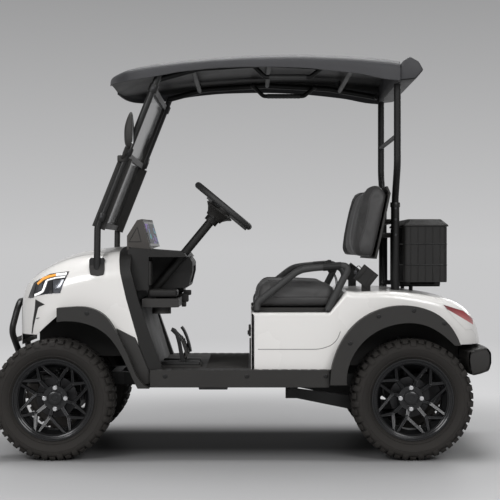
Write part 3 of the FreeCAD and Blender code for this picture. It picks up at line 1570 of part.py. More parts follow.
def rear_basket():
    """A moulded basket with a rim drawn in at the top."""
    front, rear = basket_x
    half = basket_half_width
    outline = [(front, -half), (rear, -half), (rear, half), (front, half)]
    neck = basket_top - basket_rim_height
    tub = plan_prism(outline, basket_low, neck, basket_corner)
    proud = basket_rim_proud
    inset = basket_rim_inset

    def ring(amount, z):
        corners = [(front - amount, -half - amount), (rear + amount, -half - amount),
                   (rear + amount, half + amount), (front - amount, half + amount)]
        return Part.Wire(softened([at(x, y, z) for x, y in corners], basket_corner, True))

    collar = Part.makeLoft([ring(proud, neck), ring(proud, neck + proud), ring(-inset, basket_top)], True, True)
    wall_inset = basket_wall
    inner = [(front + wall_inset, -half + wall_inset), (rear - wall_inset, -half + wall_inset),
             (rear - wall_inset, half - wall_inset), (front + wall_inset, half - wall_inset)]
    hollow = plan_prism(inner, basket_low + wall_inset, neck + proud, basket_corner - wall_inset)
    mouth_inset = inset + wall_inset
    mouth = [(front + mouth_inset, -half + mouth_inset), (rear - mouth_inset, -half + mouth_inset),
             (rear - mouth_inset, half - mouth_inset), (front + mouth_inset, half - mouth_inset)]
    opening = plan_prism(mouth, basket_low + wall_inset, basket_top + overrun, basket_corner - wall_inset)
    return joined([tub, collar]).cut(joined([hollow, opening]))


def nodes():
    """Every piece by its node name."""
    tyre = tyre_shape()
    rim = rim_shape()
    left_knuckle = knuckle()
    pieces = {
        "chassis_frame": chassis_frame(),
        "suspension_arms": suspension_arms(),
        "shock_absorbers": shock_absorbers(),
        "steering_box": steering_box(),
        "rear_axle": rear_axle(),
        "trailing_arms": trailing_arms(),
        "battery_pack": battery_pack(),
        "floor_pan": floor_pan(),
        "sills": sills(),
        "front_cowl": front_cowl(),
        "front_grille": front_grille(),
        "headlamps": headlamps(),
        "wheel_flares": wheel_flares(),
        "cowl_liner": cowl_liner(),
        "dashboard": dashboard(),
        "console_tray": console_tray(),
        "display": display(),
        "steering_column": steering_column(),
        "pedals": pedals(),
        "front_struts": both_sides(front_struts()),
        "windscreen_frame": windscreen_frame(),
        "windscreen_glass": windscreen_glass(),
        "mirrors": mirrors(),
        "roof": roof(),
        "roof_rails": roof_rails(),
        "roof_bows": roof_bows(),
        "grab_handles": grab_handles(),
        "rear_pillars": rear_pillars(),
        "rear_body": rear_body(),
        "tail_lamps": tail_lamps(),
        "rear_bumper": rear_bumper(),
        "bull_bar": bull_bar(),
        "backrest": backrest(),
        "backrest_shell": backrest_shell(),
        "armrests": armrests(),
        "belt_reels": both_sides(belt_reels()),
        "rear_basket": rear_basket(),
        "seat_cushion": seat_cushion(),
        "seat_base": seat_base(),
        "steering_wheel": steering_wheel(),
        "knuckle_left": left_knuckle,
        "knuckle_right": mirrored(left_knuckle),
        "tie_rod": tie_rod(),
        "pitman_arm": pitman_arm(),
    }
    corners = (("front", front_axle_x), ("rear", rear_axle_x))
    for end, axle_x in corners:
        for name, side in (("left", -1), ("right", 1)):
            pieces[f"tyre_{end}_{name}"] = placed_wheel(tyre, axle_x, side)
            pieces[f"rim_{end}_{name}"] = placed_wheel(rim, axle_x, side)
    return pieces


os.makedirs("parts", exist_ok=True)
for name, shape in nodes().items():
    shape.exportStep(f"parts/{name}.step")
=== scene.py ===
import math

import bmesh
import bpy
import numpy as np
from bpy.props import FloatProperty, FloatVectorProperty, IntProperty, PointerProperty
from bpy.types import Operator, Panel, PropertyGroup
from mathutils import Matrix, Vector
from mathutils.bvhtree import BVHTree

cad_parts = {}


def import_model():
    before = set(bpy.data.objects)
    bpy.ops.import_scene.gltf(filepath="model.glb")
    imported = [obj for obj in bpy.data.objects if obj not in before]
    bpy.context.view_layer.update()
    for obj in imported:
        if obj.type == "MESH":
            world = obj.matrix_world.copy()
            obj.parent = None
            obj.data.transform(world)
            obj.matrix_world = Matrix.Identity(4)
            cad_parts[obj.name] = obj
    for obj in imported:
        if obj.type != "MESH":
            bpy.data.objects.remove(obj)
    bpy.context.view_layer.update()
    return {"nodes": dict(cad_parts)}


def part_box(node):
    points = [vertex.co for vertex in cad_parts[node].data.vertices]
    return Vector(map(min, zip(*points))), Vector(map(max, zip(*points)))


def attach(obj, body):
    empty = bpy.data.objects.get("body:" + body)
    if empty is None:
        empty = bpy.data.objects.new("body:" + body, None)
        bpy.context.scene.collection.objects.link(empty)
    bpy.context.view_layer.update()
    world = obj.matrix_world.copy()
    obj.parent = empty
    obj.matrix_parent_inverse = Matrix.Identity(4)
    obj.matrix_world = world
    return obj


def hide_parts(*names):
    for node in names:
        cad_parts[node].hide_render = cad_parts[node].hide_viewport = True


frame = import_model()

bl_info = {
    "name": "Golf Cart Dressing",
    "version": (1, 0, 0),
    "blender": (4, 5, 0),
    "location": "View3D > Sidebar > Cart",
    "description": "Finishes and fine pieces for a two-seat golf cart round its packed frame",
    "category": "Object",
}

NODES = frame["nodes"]
FINISH = {}
SIDES = {"left": -1, "right": 1}
WHEELS = [(end, side) for end in ("front", "rear") for side in SIDES]
ACROSS = Vector((0, 1, 0))
DOWN, BACK, AHEAD = (0, 0, -1), (1, 0, 0), (-1, 0, 0)
# Points closer than this are one, and a radius below this is on the axis
MERGE, POLE = 0.000005, 0.00001
# Wheel centres along the cart, their height, and the front posts' distance from the middle
FRONT_AXLE, REAR_AXLE, AXLE_Z = -0.904, 0.806, 0.288
POST_Y = 0.524
# The lens, its focal length in the view's pixels, and the plane in which the view's places are read
LENS_X, LENS_Y, LENS_Z = 0.0325, 7.5, 1.0
FOCAL_PIXELS, VIEW_MIDDLE, PANEL_Y = 1460, 250, 0.6
# Where a ray starts before a surface, how far a line of sight may run on, and how deep a skin sinks in
RAY_START, SIGHT_REACH, SUNK = 2.0, 0.32, 0.0012
CLOTH_FRAMES = 20


# Named values that a user would change

def colour(name, description, value):
    return FloatVectorProperty(name=name, description=description, default=value, subtype="COLOR",
                               min=0.0, max=1.0, size=3)


def length(name, description, value):
    return FloatProperty(name=name, description=description, default=value, unit="LENGTH", subtype="DISTANCE",
                         min=0.0, precision=4)


def amount(name, description, value, low=0.0, **more):
    return FloatProperty(name=name, description=description, default=value, min=low, **more)


class CartColours(PropertyGroup):
    """Paint, plastics and covers."""
    body: colour("Body", "Gloss paint of the cowl and the rear body", (0.80, 0.785, 0.765))
    plastic: colour("Black plastic", "Grained plastic of flares, sills and dash", (0.022, 0.021, 0.020))
    roof: colour("Roof", "Grained plastic of the canopy", (0.034, 0.034, 0.037))
    seat: colour("Seat", "Grained vinyl of the cushion and backrest", (0.046, 0.045, 0.045))
    rubber: colour("Tyre", "Tread and side walls", (0.021, 0.019, 0.0175))
    rim: colour("Rim", "Satin metallic lacquer", (0.014, 0.0145, 0.016))
    frame: colour("Tube", "Powder coat of posts, bars and chassis", (0.010, 0.010, 0.010))


class CartWheels(PropertyGroup):
    """Tread, rim and spokes."""
    lug_count: IntProperty(name="Lugs", description="Lugs round each row of the tread", default=46, min=12,
                           max=90)
    lug_height: length("Lug height", "Depth of the tread", 0.0105)
    lug_width: length("Lug length", "Length of a lug round the tyre", 0.026)
    spoke_width: length("Spoke width", "Width of a spoke at its root", 0.021)
    spoke_tip: length("Spoke tip", "Width of a spoke at the barrel", 0.0135)
    nut_size: length("Nut size", "Half width of a wheel nut", 0.0105)


class CartSeat(PropertyGroup):
    """Cushions and their sewing."""
    pleat_pitch: length("Pleat pitch", "Distance between sewn channels", 0.058)
    pleat_depth: length("Pleat depth", "Depth of a sewn channel", 0.007)
    pressure: amount("Pressure", "Air pressure that fills the covers", 3.0)
    cell: length("Cell", "Voxel size of the simulated covers", 0.0078)
    swell: length("Swell", "Most that a cover may swell", 0.012)
    stitch_pitch: length("Stitch pitch", "Distance between stitches", 0.007)


class CartTrim(PropertyGroup):
    """Painted seam shadows, screws, ribs and springs."""
    # a shut line is drawn as a painted shadow strip of this width
    seam_width: length("Seam width", "Width of a shut line in the panels", 0.0032)
    screw_radius: length("Screw radius", "Radius of a flare or sill screw", 0.0085)
    rib_pitch: length("Basket rib pitch", "Distance between the basket's ribs", 0.036)
    spring_turns: amount("Spring turns", "Turns of each coil spring", 8.0, 2.0)
    spring_wire: length("Spring wire", "Radius of the spring wire", 0.0048)


class CartStage(PropertyGroup):
    """Floor, backdrop, lamps and camera."""
    backdrop: colour("Backdrop", "Plain pale surround", (0.50, 0.50, 0.505))
    floor: colour("Floor", "Plain pale floor", (0.40, 0.40, 0.405))
    key: amount("Top lamp", "Power of the soft lamp overhead", 230.0, unit="POWER")
    fill: amount("Side lamps", "Power of the soft lamps beside the cart", 165.0, unit="POWER")
    distance: length("Camera distance", "From the cart's middle plane to the camera", LENS_Y)
    height: length("Camera height", "Height of the lens above the floor", LENS_Z)
    lens: amount("Focal length", "Focal length on a 36 mm sensor in millimetres", 105.12, 20.0)


# Node helpers for finishes and patterns

def feed(tree, target, inputs):
    """Sets or links a node's inputs."""
    for key, value in inputs.items():
        if isinstance(value, bpy.types.NodeSocket):
            tree.links.new(value, target.inputs[key])
        else:
            target.inputs[key].default_value = value


def node(tree, kind, settings=None, inputs=None, output=0):
    """Adds a node with its options and inputs, and returns one of its outputs."""
    made = tree.nodes.new(kind)
    for key, value in (settings or {}).items():
        setattr(made, key, value)
    feed(tree, made, inputs or {})
    return made.outputs[output]


def maths(tree, operation, *values):
    return node(tree, "ShaderNodeMath", {"operation": operation}, dict(enumerate(values)))


def blend(tree, share, *tints):
    """A colour between two, each a socket or plain values."""
    first, second = (tint if isinstance(tint, bpy.types.NodeSocket) else (*tint, 1) for tint in tints)
    return node(tree, "ShaderNodeMix", {"data_type": "RGBA"}, {0: share, 6: first, 7: second}, 2)


def ranged(tree, value, start, end, low=0.0, high=1.0, smooth=False):
    return node(tree, "ShaderNodeMapRange", {"interpolation_type": "SMOOTHSTEP" if smooth else "LINEAR"}, {
        "Value": value, "From Min": start, "From Max": end, "To Min": low, "To Max": high})


def split(tree, source):
    return node(tree, "ShaderNodeSeparateXYZ", inputs={0: source}).node.outputs


def place_of(tree):
    return node(tree, "ShaderNodeTexCoord", output="Object")


def dim(tint, share):
    return [value * share for value in tint]


def principled(name, tint, rough, metal=0.0, extra=None):
    material = FINISH[name] = bpy.data.materials.new(name)
    material.use_nodes = True
    tree = material.node_tree
    shader = tree.nodes["Principled BSDF"]
    feed(tree, shader, {"Base Color": (*tint, 1), "Roughness": rough, "Metallic": metal, **(extra or {})})
    return tree, shader


def finish(name, tint, rough, grain, depth, metal=0.0, pebble=False, spread=0.16, cloud=6.0, edge=0.0,
           wear=0.0, dust=0.0, below=None, extra=None):
    """A finish with grain, clouds of colour, uneven gloss, softened and worn edges, dust low down, and
    painted shade on faces that point down.
    """
    tree, shader = principled(name, tint, rough, metal, extra)
    place = place_of(tree)
    patch = node(tree, "ShaderNodeTexNoise", inputs={"Vector": place, "Scale": cloud, "Detail": 6.0})
    shade = blend(tree, patch, dim(tint, 1 - spread), [min(value * (1 + spread), 1.0) for value in tint])
    bump = {"Strength": 1.0, "Distance": depth}
    if edge:
        bump["Normal"] = node(tree, "ShaderNodeBevel", {"samples": 4}, {"Radius": edge})
    way = node(tree, "ShaderNodeNewGeometry", output="Normal")
    if wear:
        turn = node(tree, "ShaderNodeVectorMath", {"operation": "DOT_PRODUCT"}, {0: bump["Normal"], 1: way},
                    "Value")
        pale = [min(value * 2.2 + 0.03, 1.0) for value in tint]
        shade = blend(tree, ranged(tree, turn, 0.97, 0.80, 0.0, wear), shade, pale)
    if dust:
        low = ranged(tree, split(tree, place)["Z"], 0.75, 0.0, 0.0, dust)
        shade = blend(tree, maths(tree, "MULTIPLY", low, patch), shade, (0.20, 0.18, 0.155))
    # painted shade: faces that point down darken towards the below colour
    if below:
        shade = blend(tree, ranged(tree, split(tree, way)["Z"], -0.25, -0.45), shade, below)
    texture, detail = ("Voronoi", {}) if pebble else ("Noise", {"Detail": 2.0})
    bump["Height"] = node(tree, "ShaderNodeTex" + texture, inputs={"Vector": place, "Scale": grain, **detail})
    feed(tree, shader, {
        "Base Color": shade, "Normal": node(tree, "ShaderNodeBump", inputs=bump),
        "Roughness": ranged(tree, patch, 0.3, 0.7, max(rough - 0.05, 0.02), min(rough + 0.07, 1.0))})


def facing(tree):
    """Each point's stored direction as a rotation of the Z axis."""
    stored = node(tree, "GeometryNodeInputNamedAttribute", {"data_type": "FLOAT_VECTOR"}, {"Name": "facing"})
    return node(tree, "FunctionNodeAlignRotationToVector", inputs={"Vector": stored})


def ring(tree, given):
    """Copies of a shape turned about the Y axis."""
    points = node(tree, "GeometryNodePoints", inputs={"Count": given["Count"]})
    moved = maths(tree, "ADD", node(tree, "GeometryNodeInputIndex"), given["Phase"])
    angle = maths(tree, "MULTIPLY", maths(tree, "DIVIDE", moved, given["Count"]), math.tau)
    turn = node(tree, "ShaderNodeCombineXYZ", inputs={"Y": angle})
    return points, given["Geometry"], turn


def row(tree, given):
    """Copies of a shape at equal steps along a line."""
    line = node(tree, "GeometryNodeMeshLine", inputs={"Count": given["Count"], "Offset": given["Step"]})
    return line, given["Geometry"], None


def screws(tree, given):
    """Button heads with a hexagon raised on a washer."""
    radius, height = given["Radius"], given["Height"]
    both = tree.nodes.new("GeometryNodeJoinGeometry")
    for sides, top, base, deep in ((20, 1.0, 1.35, 0.35), (given["Sides"], 0.86, 1.0, 1.0)):
        cone = node(tree, "GeometryNodeMeshCone", inputs={
            "Vertices": sides, "Radius Top": maths(tree, "MULTIPLY", radius, top),
            "Radius Bottom": maths(tree, "MULTIPLY", radius, base),
            "Depth": maths(tree, "MULTIPLY", height, deep)})
        tree.links.new(cone, both.inputs[0])
    return given["Geometry"], both.outputs[0], facing(tree)


def stitches(tree, given):
    """Short threads along an edge line."""
    curve = node(tree, "GeometryNodeMeshToCurve", inputs={0: given["Geometry"]})
    points = node(tree, "GeometryNodeResampleCurve", {"mode": "LENGTH"}, {"Curve": curve,
                                                                         "Length": given["Pitch"]})
    way = node(tree, "GeometryNodeInputTangent")
    turn = node(tree, "FunctionNodeAlignRotationToVector", inputs={"Vector": way})
    thread = node(tree, "GeometryNodeMeshCylinder", inputs={
        "Vertices": 6, "Radius": given["Thread"], "Depth": given["Length"]})
    return points, thread, turn


def springs(tree, given):
    """A coil spring from each point along its stored direction."""
    spiral = node(tree, "GeometryNodeCurveSpiral", inputs={
        "Resolution": 24, "Rotations": given["Turns"], "Start Radius": given["Radius"],
        "End Radius": given["Radius"], "Height": given["Height"]})
    section = node(tree, "GeometryNodeCurvePrimitiveCircle", inputs={
        "Resolution": 10, "Radius": given["Wire"]})
    wire = node(tree, "GeometryNodeCurveToMesh", inputs={
        "Curve": spiral, "Profile Curve": section, "Fill Caps": True})
    return given["Geometry"], wire, facing(tree)


PATTERNS = {
    ring: {"Count": 8, "Phase": 0.0},
    row: {"Count": 8, "Step": (0.01, 0, 0)},
    screws: {"Radius": 0.008, "Height": 0.004, "Sides": 6},
    stitches: {"Pitch": 0.007, "Length": 0.0045, "Thread": 0.0006},
    springs: {"Turns": 8.0, "Radius": 0.023, "Wire": 0.005, "Height": 0.15},
}
TREES = {}


def pattern_tree(build):
    """A Geometry Nodes tree with named inputs, whose copies are realized and painted."""
    tree = bpy.data.node_groups.new(build.__name__, "GeometryNodeTree")
    kinds = {int: "Int", float: "Float", tuple: "Vector"}
    add = tree.interface.new_socket
    add("Geometry", in_out="INPUT", socket_type="NodeSocketGeometry")
    for label, value in PATTERNS[build].items():
        add(label, in_out="INPUT", socket_type="NodeSocket" + kinds[type(value)]).default_value = value
    add("Material", in_out="INPUT", socket_type="NodeSocketMaterial")
    add("Geometry", in_out="OUTPUT", socket_type="NodeSocketGeometry")
    given = tree.nodes.new("NodeGroupInput").outputs
    points, shape, turn = build(tree, given)
    copies = node(tree, "GeometryNodeInstanceOnPoints", inputs={
        "Points": points, "Instance": shape, **({"Rotation": turn} if turn else {})})
    real = node(tree, "GeometryNodeRealizeInstances", inputs={0: copies})
    painted = node(tree, "GeometryNodeSetMaterial", inputs={"Geometry": real, "Material": given["Material"]})
    feed(tree, tree.nodes.new("NodeGroupOutput"), {0: painted})
    return tree


def pattern(build, source, **values):
    """Runs a pattern on a mesh and returns the plain mesh that it gives."""
    if build not in TREES:
        TREES[build] = pattern_tree(build)
    values["Material"] = FINISH["steel"]
    given = {item.identifier: values[item.name] for item in TREES[build].interface.items_tree
             if item.in_out == "INPUT" and item.name in values}
    mesh = settled(source, "NODES", {"node_group": TREES[build]}, given)
    if not mesh.polygons:
        raise RuntimeError(f"the {build.__name__} pattern made nothing")
    return mesh


def points_mesh(places):
    """A mesh of points with a stored direction each, from (place, direction) pairs."""
    mesh = bpy.data.meshes.new("points")
    mesh.from_pydata([place for place, _ in places], [], [])
    stored = mesh.attributes.new("facing", "FLOAT_VECTOR", "POINT")
    for item, (_, direction) in zip(stored.data, places):
        item.vector = direction
    return mesh


def sewn(threads, **values):
    """Stitches along lines of points."""
    meshes = []
    for points in threads:
        mesh = bpy.data.meshes.new("line")
        mesh.from_pydata(points, [(index, index + 1) for index in range(len(points) - 1)], [])
        meshes.append(pattern(stitches, mesh, **values))
    return merged(meshes)


# Mesh helpers, in metres

def shown(name, data):
    made = bpy.data.objects.new(name, data)
    bpy.context.collection.objects.link(made)
    return made


def evaluated(obj):
    return bpy.data.meshes.new_from_object(obj.evaluated_get(bpy.context.evaluated_depsgraph_get()))


def settled(source, kind, settings, given=None):
    """The mesh that one modifier makes of another."""
    carrier = shown("carrier", source)
    modifier = carrier.modifiers.new("step", kind)
    for key, value in settings.items():
        setattr(modifier, key, value)
    for key, value in (given or {}).items():
        modifier[key] = value
    mesh = evaluated(carrier)
    bpy.data.objects.remove(carrier)
    return mesh


def to_mesh(bm, merge=True):
    if merge:
        bmesh.ops.remove_doubles(bm, verts=bm.verts, dist=MERGE)
        bmesh.ops.recalc_face_normals(bm, faces=bm.faces)
    mesh = bpy.data.meshes.new("mesh")
    bm.to_mesh(mesh)
    bm.free()
    return mesh


def placed(name, shape, look="black_plastic", body="cart", angle=50.0, merge=False):
    """Names a finished shape, paints it and lets it ride on its body."""
    mesh = to_mesh(shape, merge) if isinstance(shape, bmesh.types.BMesh) else shape
    mesh.materials.clear()
    mesh.materials.append(FINISH[look])
    mesh.polygons.foreach_set("material_index", [0] * len(mesh.polygons))
    mesh.polygons.foreach_set("use_smooth", [True] * len(mesh.polygons))
    mesh.set_sharp_from_angle(angle=math.radians(angle))
    mesh.update()
    made = shown(name, mesh)
    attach(made, body)
    return made


def merged(meshes):
    bm = bmesh.new()
    for mesh in meshes:
        bm.from_mesh(mesh)
    return to_mesh(bm, False)


def moved(mesh, matrix):
    mesh = mesh.copy()
    mesh.transform(matrix)
    return mesh


def arc(centre, radius, first, last, steps):
    """(a, b) points along an arc in degrees."""
    turns = [math.radians(first + (last - first) * step / steps) for step in range(steps + 1)]
    return [(centre[0] + radius * math.cos(turn), centre[1] + radius * math.sin(turn)) for turn in turns]


def loft(bm, rings):
    """A closed form through rings of points."""
    rings = [[bm.verts.new(point) for point in points] for points in rings]
    for here, after in zip(rings, rings[1:]):
        for index in range(len(here)):
            ahead = (index + 1) % len(here)
            bm.faces.new((here[index], here[ahead], after[ahead], after[index]))
    bm.faces.new(rings[0][::-1])
    bm.faces.new(rings[-1])


def lathe(bm, profile, steps, centre=(0, 0, 0), axis=ACROSS):
    """A closed ring or a capped body from (radius, height) pairs about an axis."""
    turn = Vector((0, 0, 1)).rotation_difference(Vector(axis)).to_matrix()
    rings = []
    for step in range(steps):
        angle = math.tau * step / steps
        rings.append([
            bm.verts.new(Vector(centre) + turn @ Vector((r * math.cos(angle), r * math.sin(angle), h)))
            for r, h in profile])
    count = len(profile)
    spans = count if max(profile[0][0], profile[-1][0]) > POLE else count - 1
    for here, after in zip(rings, rings[1:] + rings[:1]):
        for index in range(spans):
            ahead = (index + 1) % count
            corners = [here[index], here[ahead], after[ahead], after[index]]
            if profile[index][0] < POLE:
                corners.pop()
            elif profile[ahead][0] < POLE:
                corners.pop(2)
            bm.faces.new(corners)


def capped(radius, start, end):
    return [(0.0, start), (radius, start), (radius, end), (0.0, end)]


def tangents(points):
    last = len(points) - 1
    return [(points[min(index + 1, last)] - points[max(index - 1, 0)]).normalized()
            for index in range(last + 1)]


def sweep(bm, points, radius, sides=12):
    """A tube along points, of one radius or one for each point."""
    points = [Vector(point) for point in points]
    radii = radius if isinstance(radius, list) else [radius] * len(points)
    turns = [math.tau * side / sides for side in range(sides)]
    rings, normal = [], None
    for point, tangent, size in zip(points, tangents(points), radii):
        if normal is None:
            normal = tangent.orthogonal()
        normal = (normal - tangent * normal.dot(tangent)).normalized()
        across = tangent.cross(normal)
        rings.append([point + (normal * math.cos(turn) + across * math.sin(turn)) * size for turn in turns])
    loft(bm, rings)


def strap(bm, points, width, thickness):
    """A flat strap along points, with its width across the cart."""
    points = [Vector(point) for point in points]
    wide, thick = width / 2, thickness / 2
    edge = [(wide, thick * 0.4), (wide * 0.96, thick), (-wide * 0.96, thick), (-wide, thick * 0.4)]
    edge += [(a, -b) for a, b in reversed(edge)]
    rings = []
    for point, tangent in zip(points, tangents(points)):
        across = (ACROSS - tangent * ACROSS.dot(tangent)).normalized()
        up = tangent.cross(across)
        rings.append([point + across * a + up * b for a, b in edge])
    loft(bm, rings)


def eased(points, radius, steps=6):
    """The points of a line with its corners rounded."""
    points = [Vector(point) for point in points]
    line = [points[0]]
    for before, here, after in zip(points, points[1:], points[2:]):
        back, ahead = before - here, after - here
        trim = min(radius, back.length * 0.45, ahead.length * 0.45)
        enter, leave = here + back.normalized() * trim, here + ahead.normalized() * trim
        for step in range(steps + 1):
            share = step / steps
            line.append(enter.lerp(here, share).lerp(here.lerp(leave, share), share))
    return line + [points[-1]]


def rounded(bm, part, bevel, segments, matrix=Matrix()):
    """Adds a part to a mesh with its edges rounded."""
    bmesh.ops.bevel(part, geom=part.edges[:], offset=bevel, segments=segments, profile=0.5, affect="EDGES")
    bmesh.ops.transform(part, matrix=matrix, verts=part.verts)
    mesh = to_mesh(part, False)
    bm.from_mesh(mesh)
    bpy.data.meshes.remove(mesh)


def box(bm, low, high, bevel=0.002, turn=None, segments=2):
    """A block with rounded edges, turned about its own middle by a matrix."""
    low, high = Vector(low), Vector(high)
    part = bmesh.new()
    bmesh.ops.create_cube(part, size=1)
    bmesh.ops.scale(part, vec=high - low, verts=part.verts)
    rounded(bm, part, bevel, segments,
            Matrix.Translation((low + high) / 2) @ (turn.to_4x4() if turn else Matrix()))


def block(bm, middle, half, bevel, turn=None, segments=2):
    """A block from its middle and its half sizes."""
    box(bm, Vector(middle) - Vector(half), Vector(middle) + Vector(half), bevel, turn, segments)


def plate(bm, outline, near, far, bevel):
    """A flat plate across Y from an (x, z) outline, its edges rounded."""
    part = bmesh.new()
    rings = [[part.verts.new((x, y, z)) for x, z in outline] for y in (near, far)]
    part.faces.new(rings[0])
    part.faces.new(rings[1][::-1])
    for index in range(len(outline)):
        ahead = (index + 1) % len(outline)
        part.faces.new((rings[0][index], rings[1][index], rings[1][ahead], rings[0][ahead]))
    bmesh.ops.recalc_face_normals(part, faces=part.faces)
    rounded(bm, part, bevel, 3)


def runs(path):
    """How far along a path each of its points lies."""
    found = [0.0]
    for before, after in zip(path, path[1:]):
        found.append(found[-1] + (Vector(after) - Vector(before)).length)
    return found


def spaced(points, count):
    """Points at equal steps along a line."""
    points = [Vector(point) for point in points]
    along = runs(points)
    found = []
    at = 0
    for index in range(count):
        goal = along[-1] * index / (count - 1)
        while at < len(points) - 2 and along[at + 1] < goal:
            at += 1
        share = (goal - along[at]) / max(along[at + 1] - along[at], 1e-9)
        found.append(points[at].lerp(points[at + 1], min(share, 1.0)))
    return found


def surface(*names):
    """A ray-cast tree of the shown faces of CAD nodes or meshes."""
    verts, faces = [], []
    for name in names:
        mesh = NODES[name].data if isinstance(name, str) else name
        start = len(verts)
        verts += [vert.co.copy() for vert in mesh.vertices]
        faces += [[start + index for index in face.vertices] for face in mesh.polygons]
    return BVHTree.FromPolygons(verts, faces)


def sight(side):
    """Lines of sight from a lens beside the cart, as a function of the point looked at."""
    lens = Vector((LENS_X, side * LENS_Y, LENS_Z))
    return lambda point: (point - lens).normalized()


def sighted(pairs, side):
    """Places in the camera's 500 by 500 view, as points in a plane beside the cart."""
    scale = (LENS_Y - PANEL_Y) / FOCAL_PIXELS
    return [Vector((LENS_X + (x - VIEW_MIDDLE) * scale, side * PANEL_Y, LENS_Z + (VIEW_MIDDLE - y) * scale))
            for x, y in pairs]


def cast(tree, point, direction, lift):
    """Where a ray meets a surface, lifted off it, or None; a line of sight stops short of the far side."""
    point = Vector(point)
    way = direction(point) if callable(direction) else Vector(direction)
    hit, normal, _, _ = tree.ray_cast(point - way * RAY_START, way)
    if hit is None or callable(direction) and (hit - point).length > SIGHT_REACH:
        return None
    if normal.dot(way) > 0:
        normal.negate()
    return hit + normal * lift, hit - normal * SUNK


def sheet_on(bm, tree, direction, first, last, columns, rows, lift):
    """A thin skin on a surface between two lines, seen along a direction."""
    ends = list(zip(spaced(first, columns + 1), spaced(last, columns + 1)))
    grid, kept = {}, None
    for row in range(rows + 1):
        for col, (a, b) in enumerate(ends):
            kept = cast(tree, a.lerp(b, row / rows), direction, lift) or kept
            if kept is None:
                raise RuntimeError("a skin starts beside its surface")
            grid[row, col] = [bm.verts.new(point) for point in kept]
    for row in range(rows):
        for col in range(columns):
            square = [(row, col), (row, col + 1), (row + 1, col + 1), (row + 1, col)]
            bm.faces.new([grid[place][0] for place in square])
            bm.faces.new([grid[place][1] for place in (square[0], *square[:0:-1])])
    rim = [(0, col) for col in range(columns)] + [(row, columns) for row in range(rows)]
    rim += [(rows, col) for col in range(columns, 0, -1)] + [(row, 0) for row in range(rows, 0, -1)]
    for here, after in zip(rim, rim[1:] + rim[:1]):
        bm.faces.new((*grid[here], *grid[after][::-1]))


def ribbon(bm, tree, path, direction, width, lift, step=0.010):
    """A narrow strip along a path on a surface, seen along a direction."""
    count = max(int(runs(path)[-1] / step), 2)
    line = spaced(path, count + 1)
    across = [ahead.cross(Vector(direction)).normalized() * (width / 2) for ahead in tangents(line)]
    left = [point + off for point, off in zip(line, across)]
    right = [point - off for point, off in zip(line, across)]
    sheet_on(bm, tree, direction, left, right, count, 2, lift)


def laid(tree, path, direction, lift, step=0.008):
    """The points of a path laid on a surface."""
    found = [cast(tree, point, direction, lift) for point in spaced(path, max(int(runs(path)[-1] / step), 2))]
    return [pair[0] for pair in found if pair]


def flowing(table, count):
    """Rows between the given ones, closer together at the start and without overshoot."""
    table = np.array(table, float)
    x, rows = table[:, 0], table[:, 1:]
    run = np.diff(x)[:, None]
    rise = np.diff(rows, axis=0) / run
    slope = np.zeros_like(rows)
    same = rise[:-1] * rise[1:] > 0
    slope[1:-1] = np.where(same, 2 * rise[:-1] * rise[1:] / np.where(same, rise[:-1] + rise[1:], 1.0), 0.0)
    slope[0], slope[-1] = rise[0], rise[-1]
    found = []
    for place in x[0] + (x[-1] - x[0]) * np.linspace(0, 1, count) ** 1.6:
        at = min(max(int(np.searchsorted(x, place, side="right")) - 1, 0), len(run) - 1)
        t = (place - x[at]) / run[at]
        values = (2 * t ** 3 - 3 * t ** 2 + 1) * rows[at] + (3 * t ** 2 - 2 * t ** 3) * rows[at + 1]
        lean = (t ** 3 - 2 * t ** 2 + t) * slope[at] + (t ** 3 - t ** 2) * slope[at + 1]
        values = values + run[at] * lean
        found.append([place, *values])
    return found


class Step:
    """An operator that does its work on the scene."""

    def execute(self, context):
        self.work(context.scene)
        return {"FINISHED"}


# Operators: finishes

def tail_lens(paint):
    """A red lens, darker at its tip, with a painted highlight that turns it pale pink low down, above a
    surround in body paint.
    """
    tree, shader = principled("red_lens", (0.2, 0.01, 0.012), 0.12, extra=coat(0.8, 0.06))
    place = place_of(tree)
    x, _, z = split(tree, place)
    slope = maths(tree, "MULTIPLY_ADD", x, 0.568, z)
    along = ranged(tree, x, 0.965, 1.060)
    deep = blend(tree, along, (0.030, 0.003, 0.006), (0.30, 0.020, 0.026))
    # painted highlight: the lower zone is paler and pinker towards the rear
    low = blend(tree, along, (0.16, 0.012, 0.018), (0.52, 0.17, 0.17))
    lens = blend(tree, ranged(tree, slope, 1.270, 1.300), low, deep)
    ribs = node(tree, "ShaderNodeTexWave", inputs={"Vector": place, "Scale": 60.0, "Distortion": 2.0},
                output="Fac")
    feed(tree, shader, {"Base Color": blend(tree, ranged(tree, slope, 1.2694, 1.2710), paint, lens),
                        "Normal": node(tree, "ShaderNodeBump", inputs={"Height": ribs, "Distance": 0.00025})})


def lit_screen():
    """A lit screen with plain coloured fields."""
    tree, shader = principled("lit_screen", (0.01, 0.01, 0.012), 0.40, extra={
        "Emission Strength": 0.5, "Specular IOR Level": 0.15})
    place = place_of(tree)
    cells = node(tree, "ShaderNodeTexVoronoi", {"distance": "CHEBYCHEV"}, {"Vector": place, "Scale": 26.0})
    glow = node(tree, "ShaderNodeTexNoise", inputs={"Vector": place, "Scale": 14.0, "Detail": 1.0})
    fields = node(tree, "ShaderNodeValToRGB", inputs={"Fac": glow})
    steps = ((0.38, (0.02, 0.30, 0.33, 1)), (0.62, (0.20, 0.10, 0.42, 1)))
    for stop, (share, tint) in zip(fields.node.color_ramp.elements, steps):
        stop.position, stop.color = share, tint
    lines = maths(tree, "LESS_THAN", cells, 0.34)
    feed(tree, shader, {"Emission Color": blend(tree, lines, (0.006, 0.010, 0.014), fields)})


def coat(weight, rough):
    return {"Coat Weight": weight, "Coat Roughness": rough}


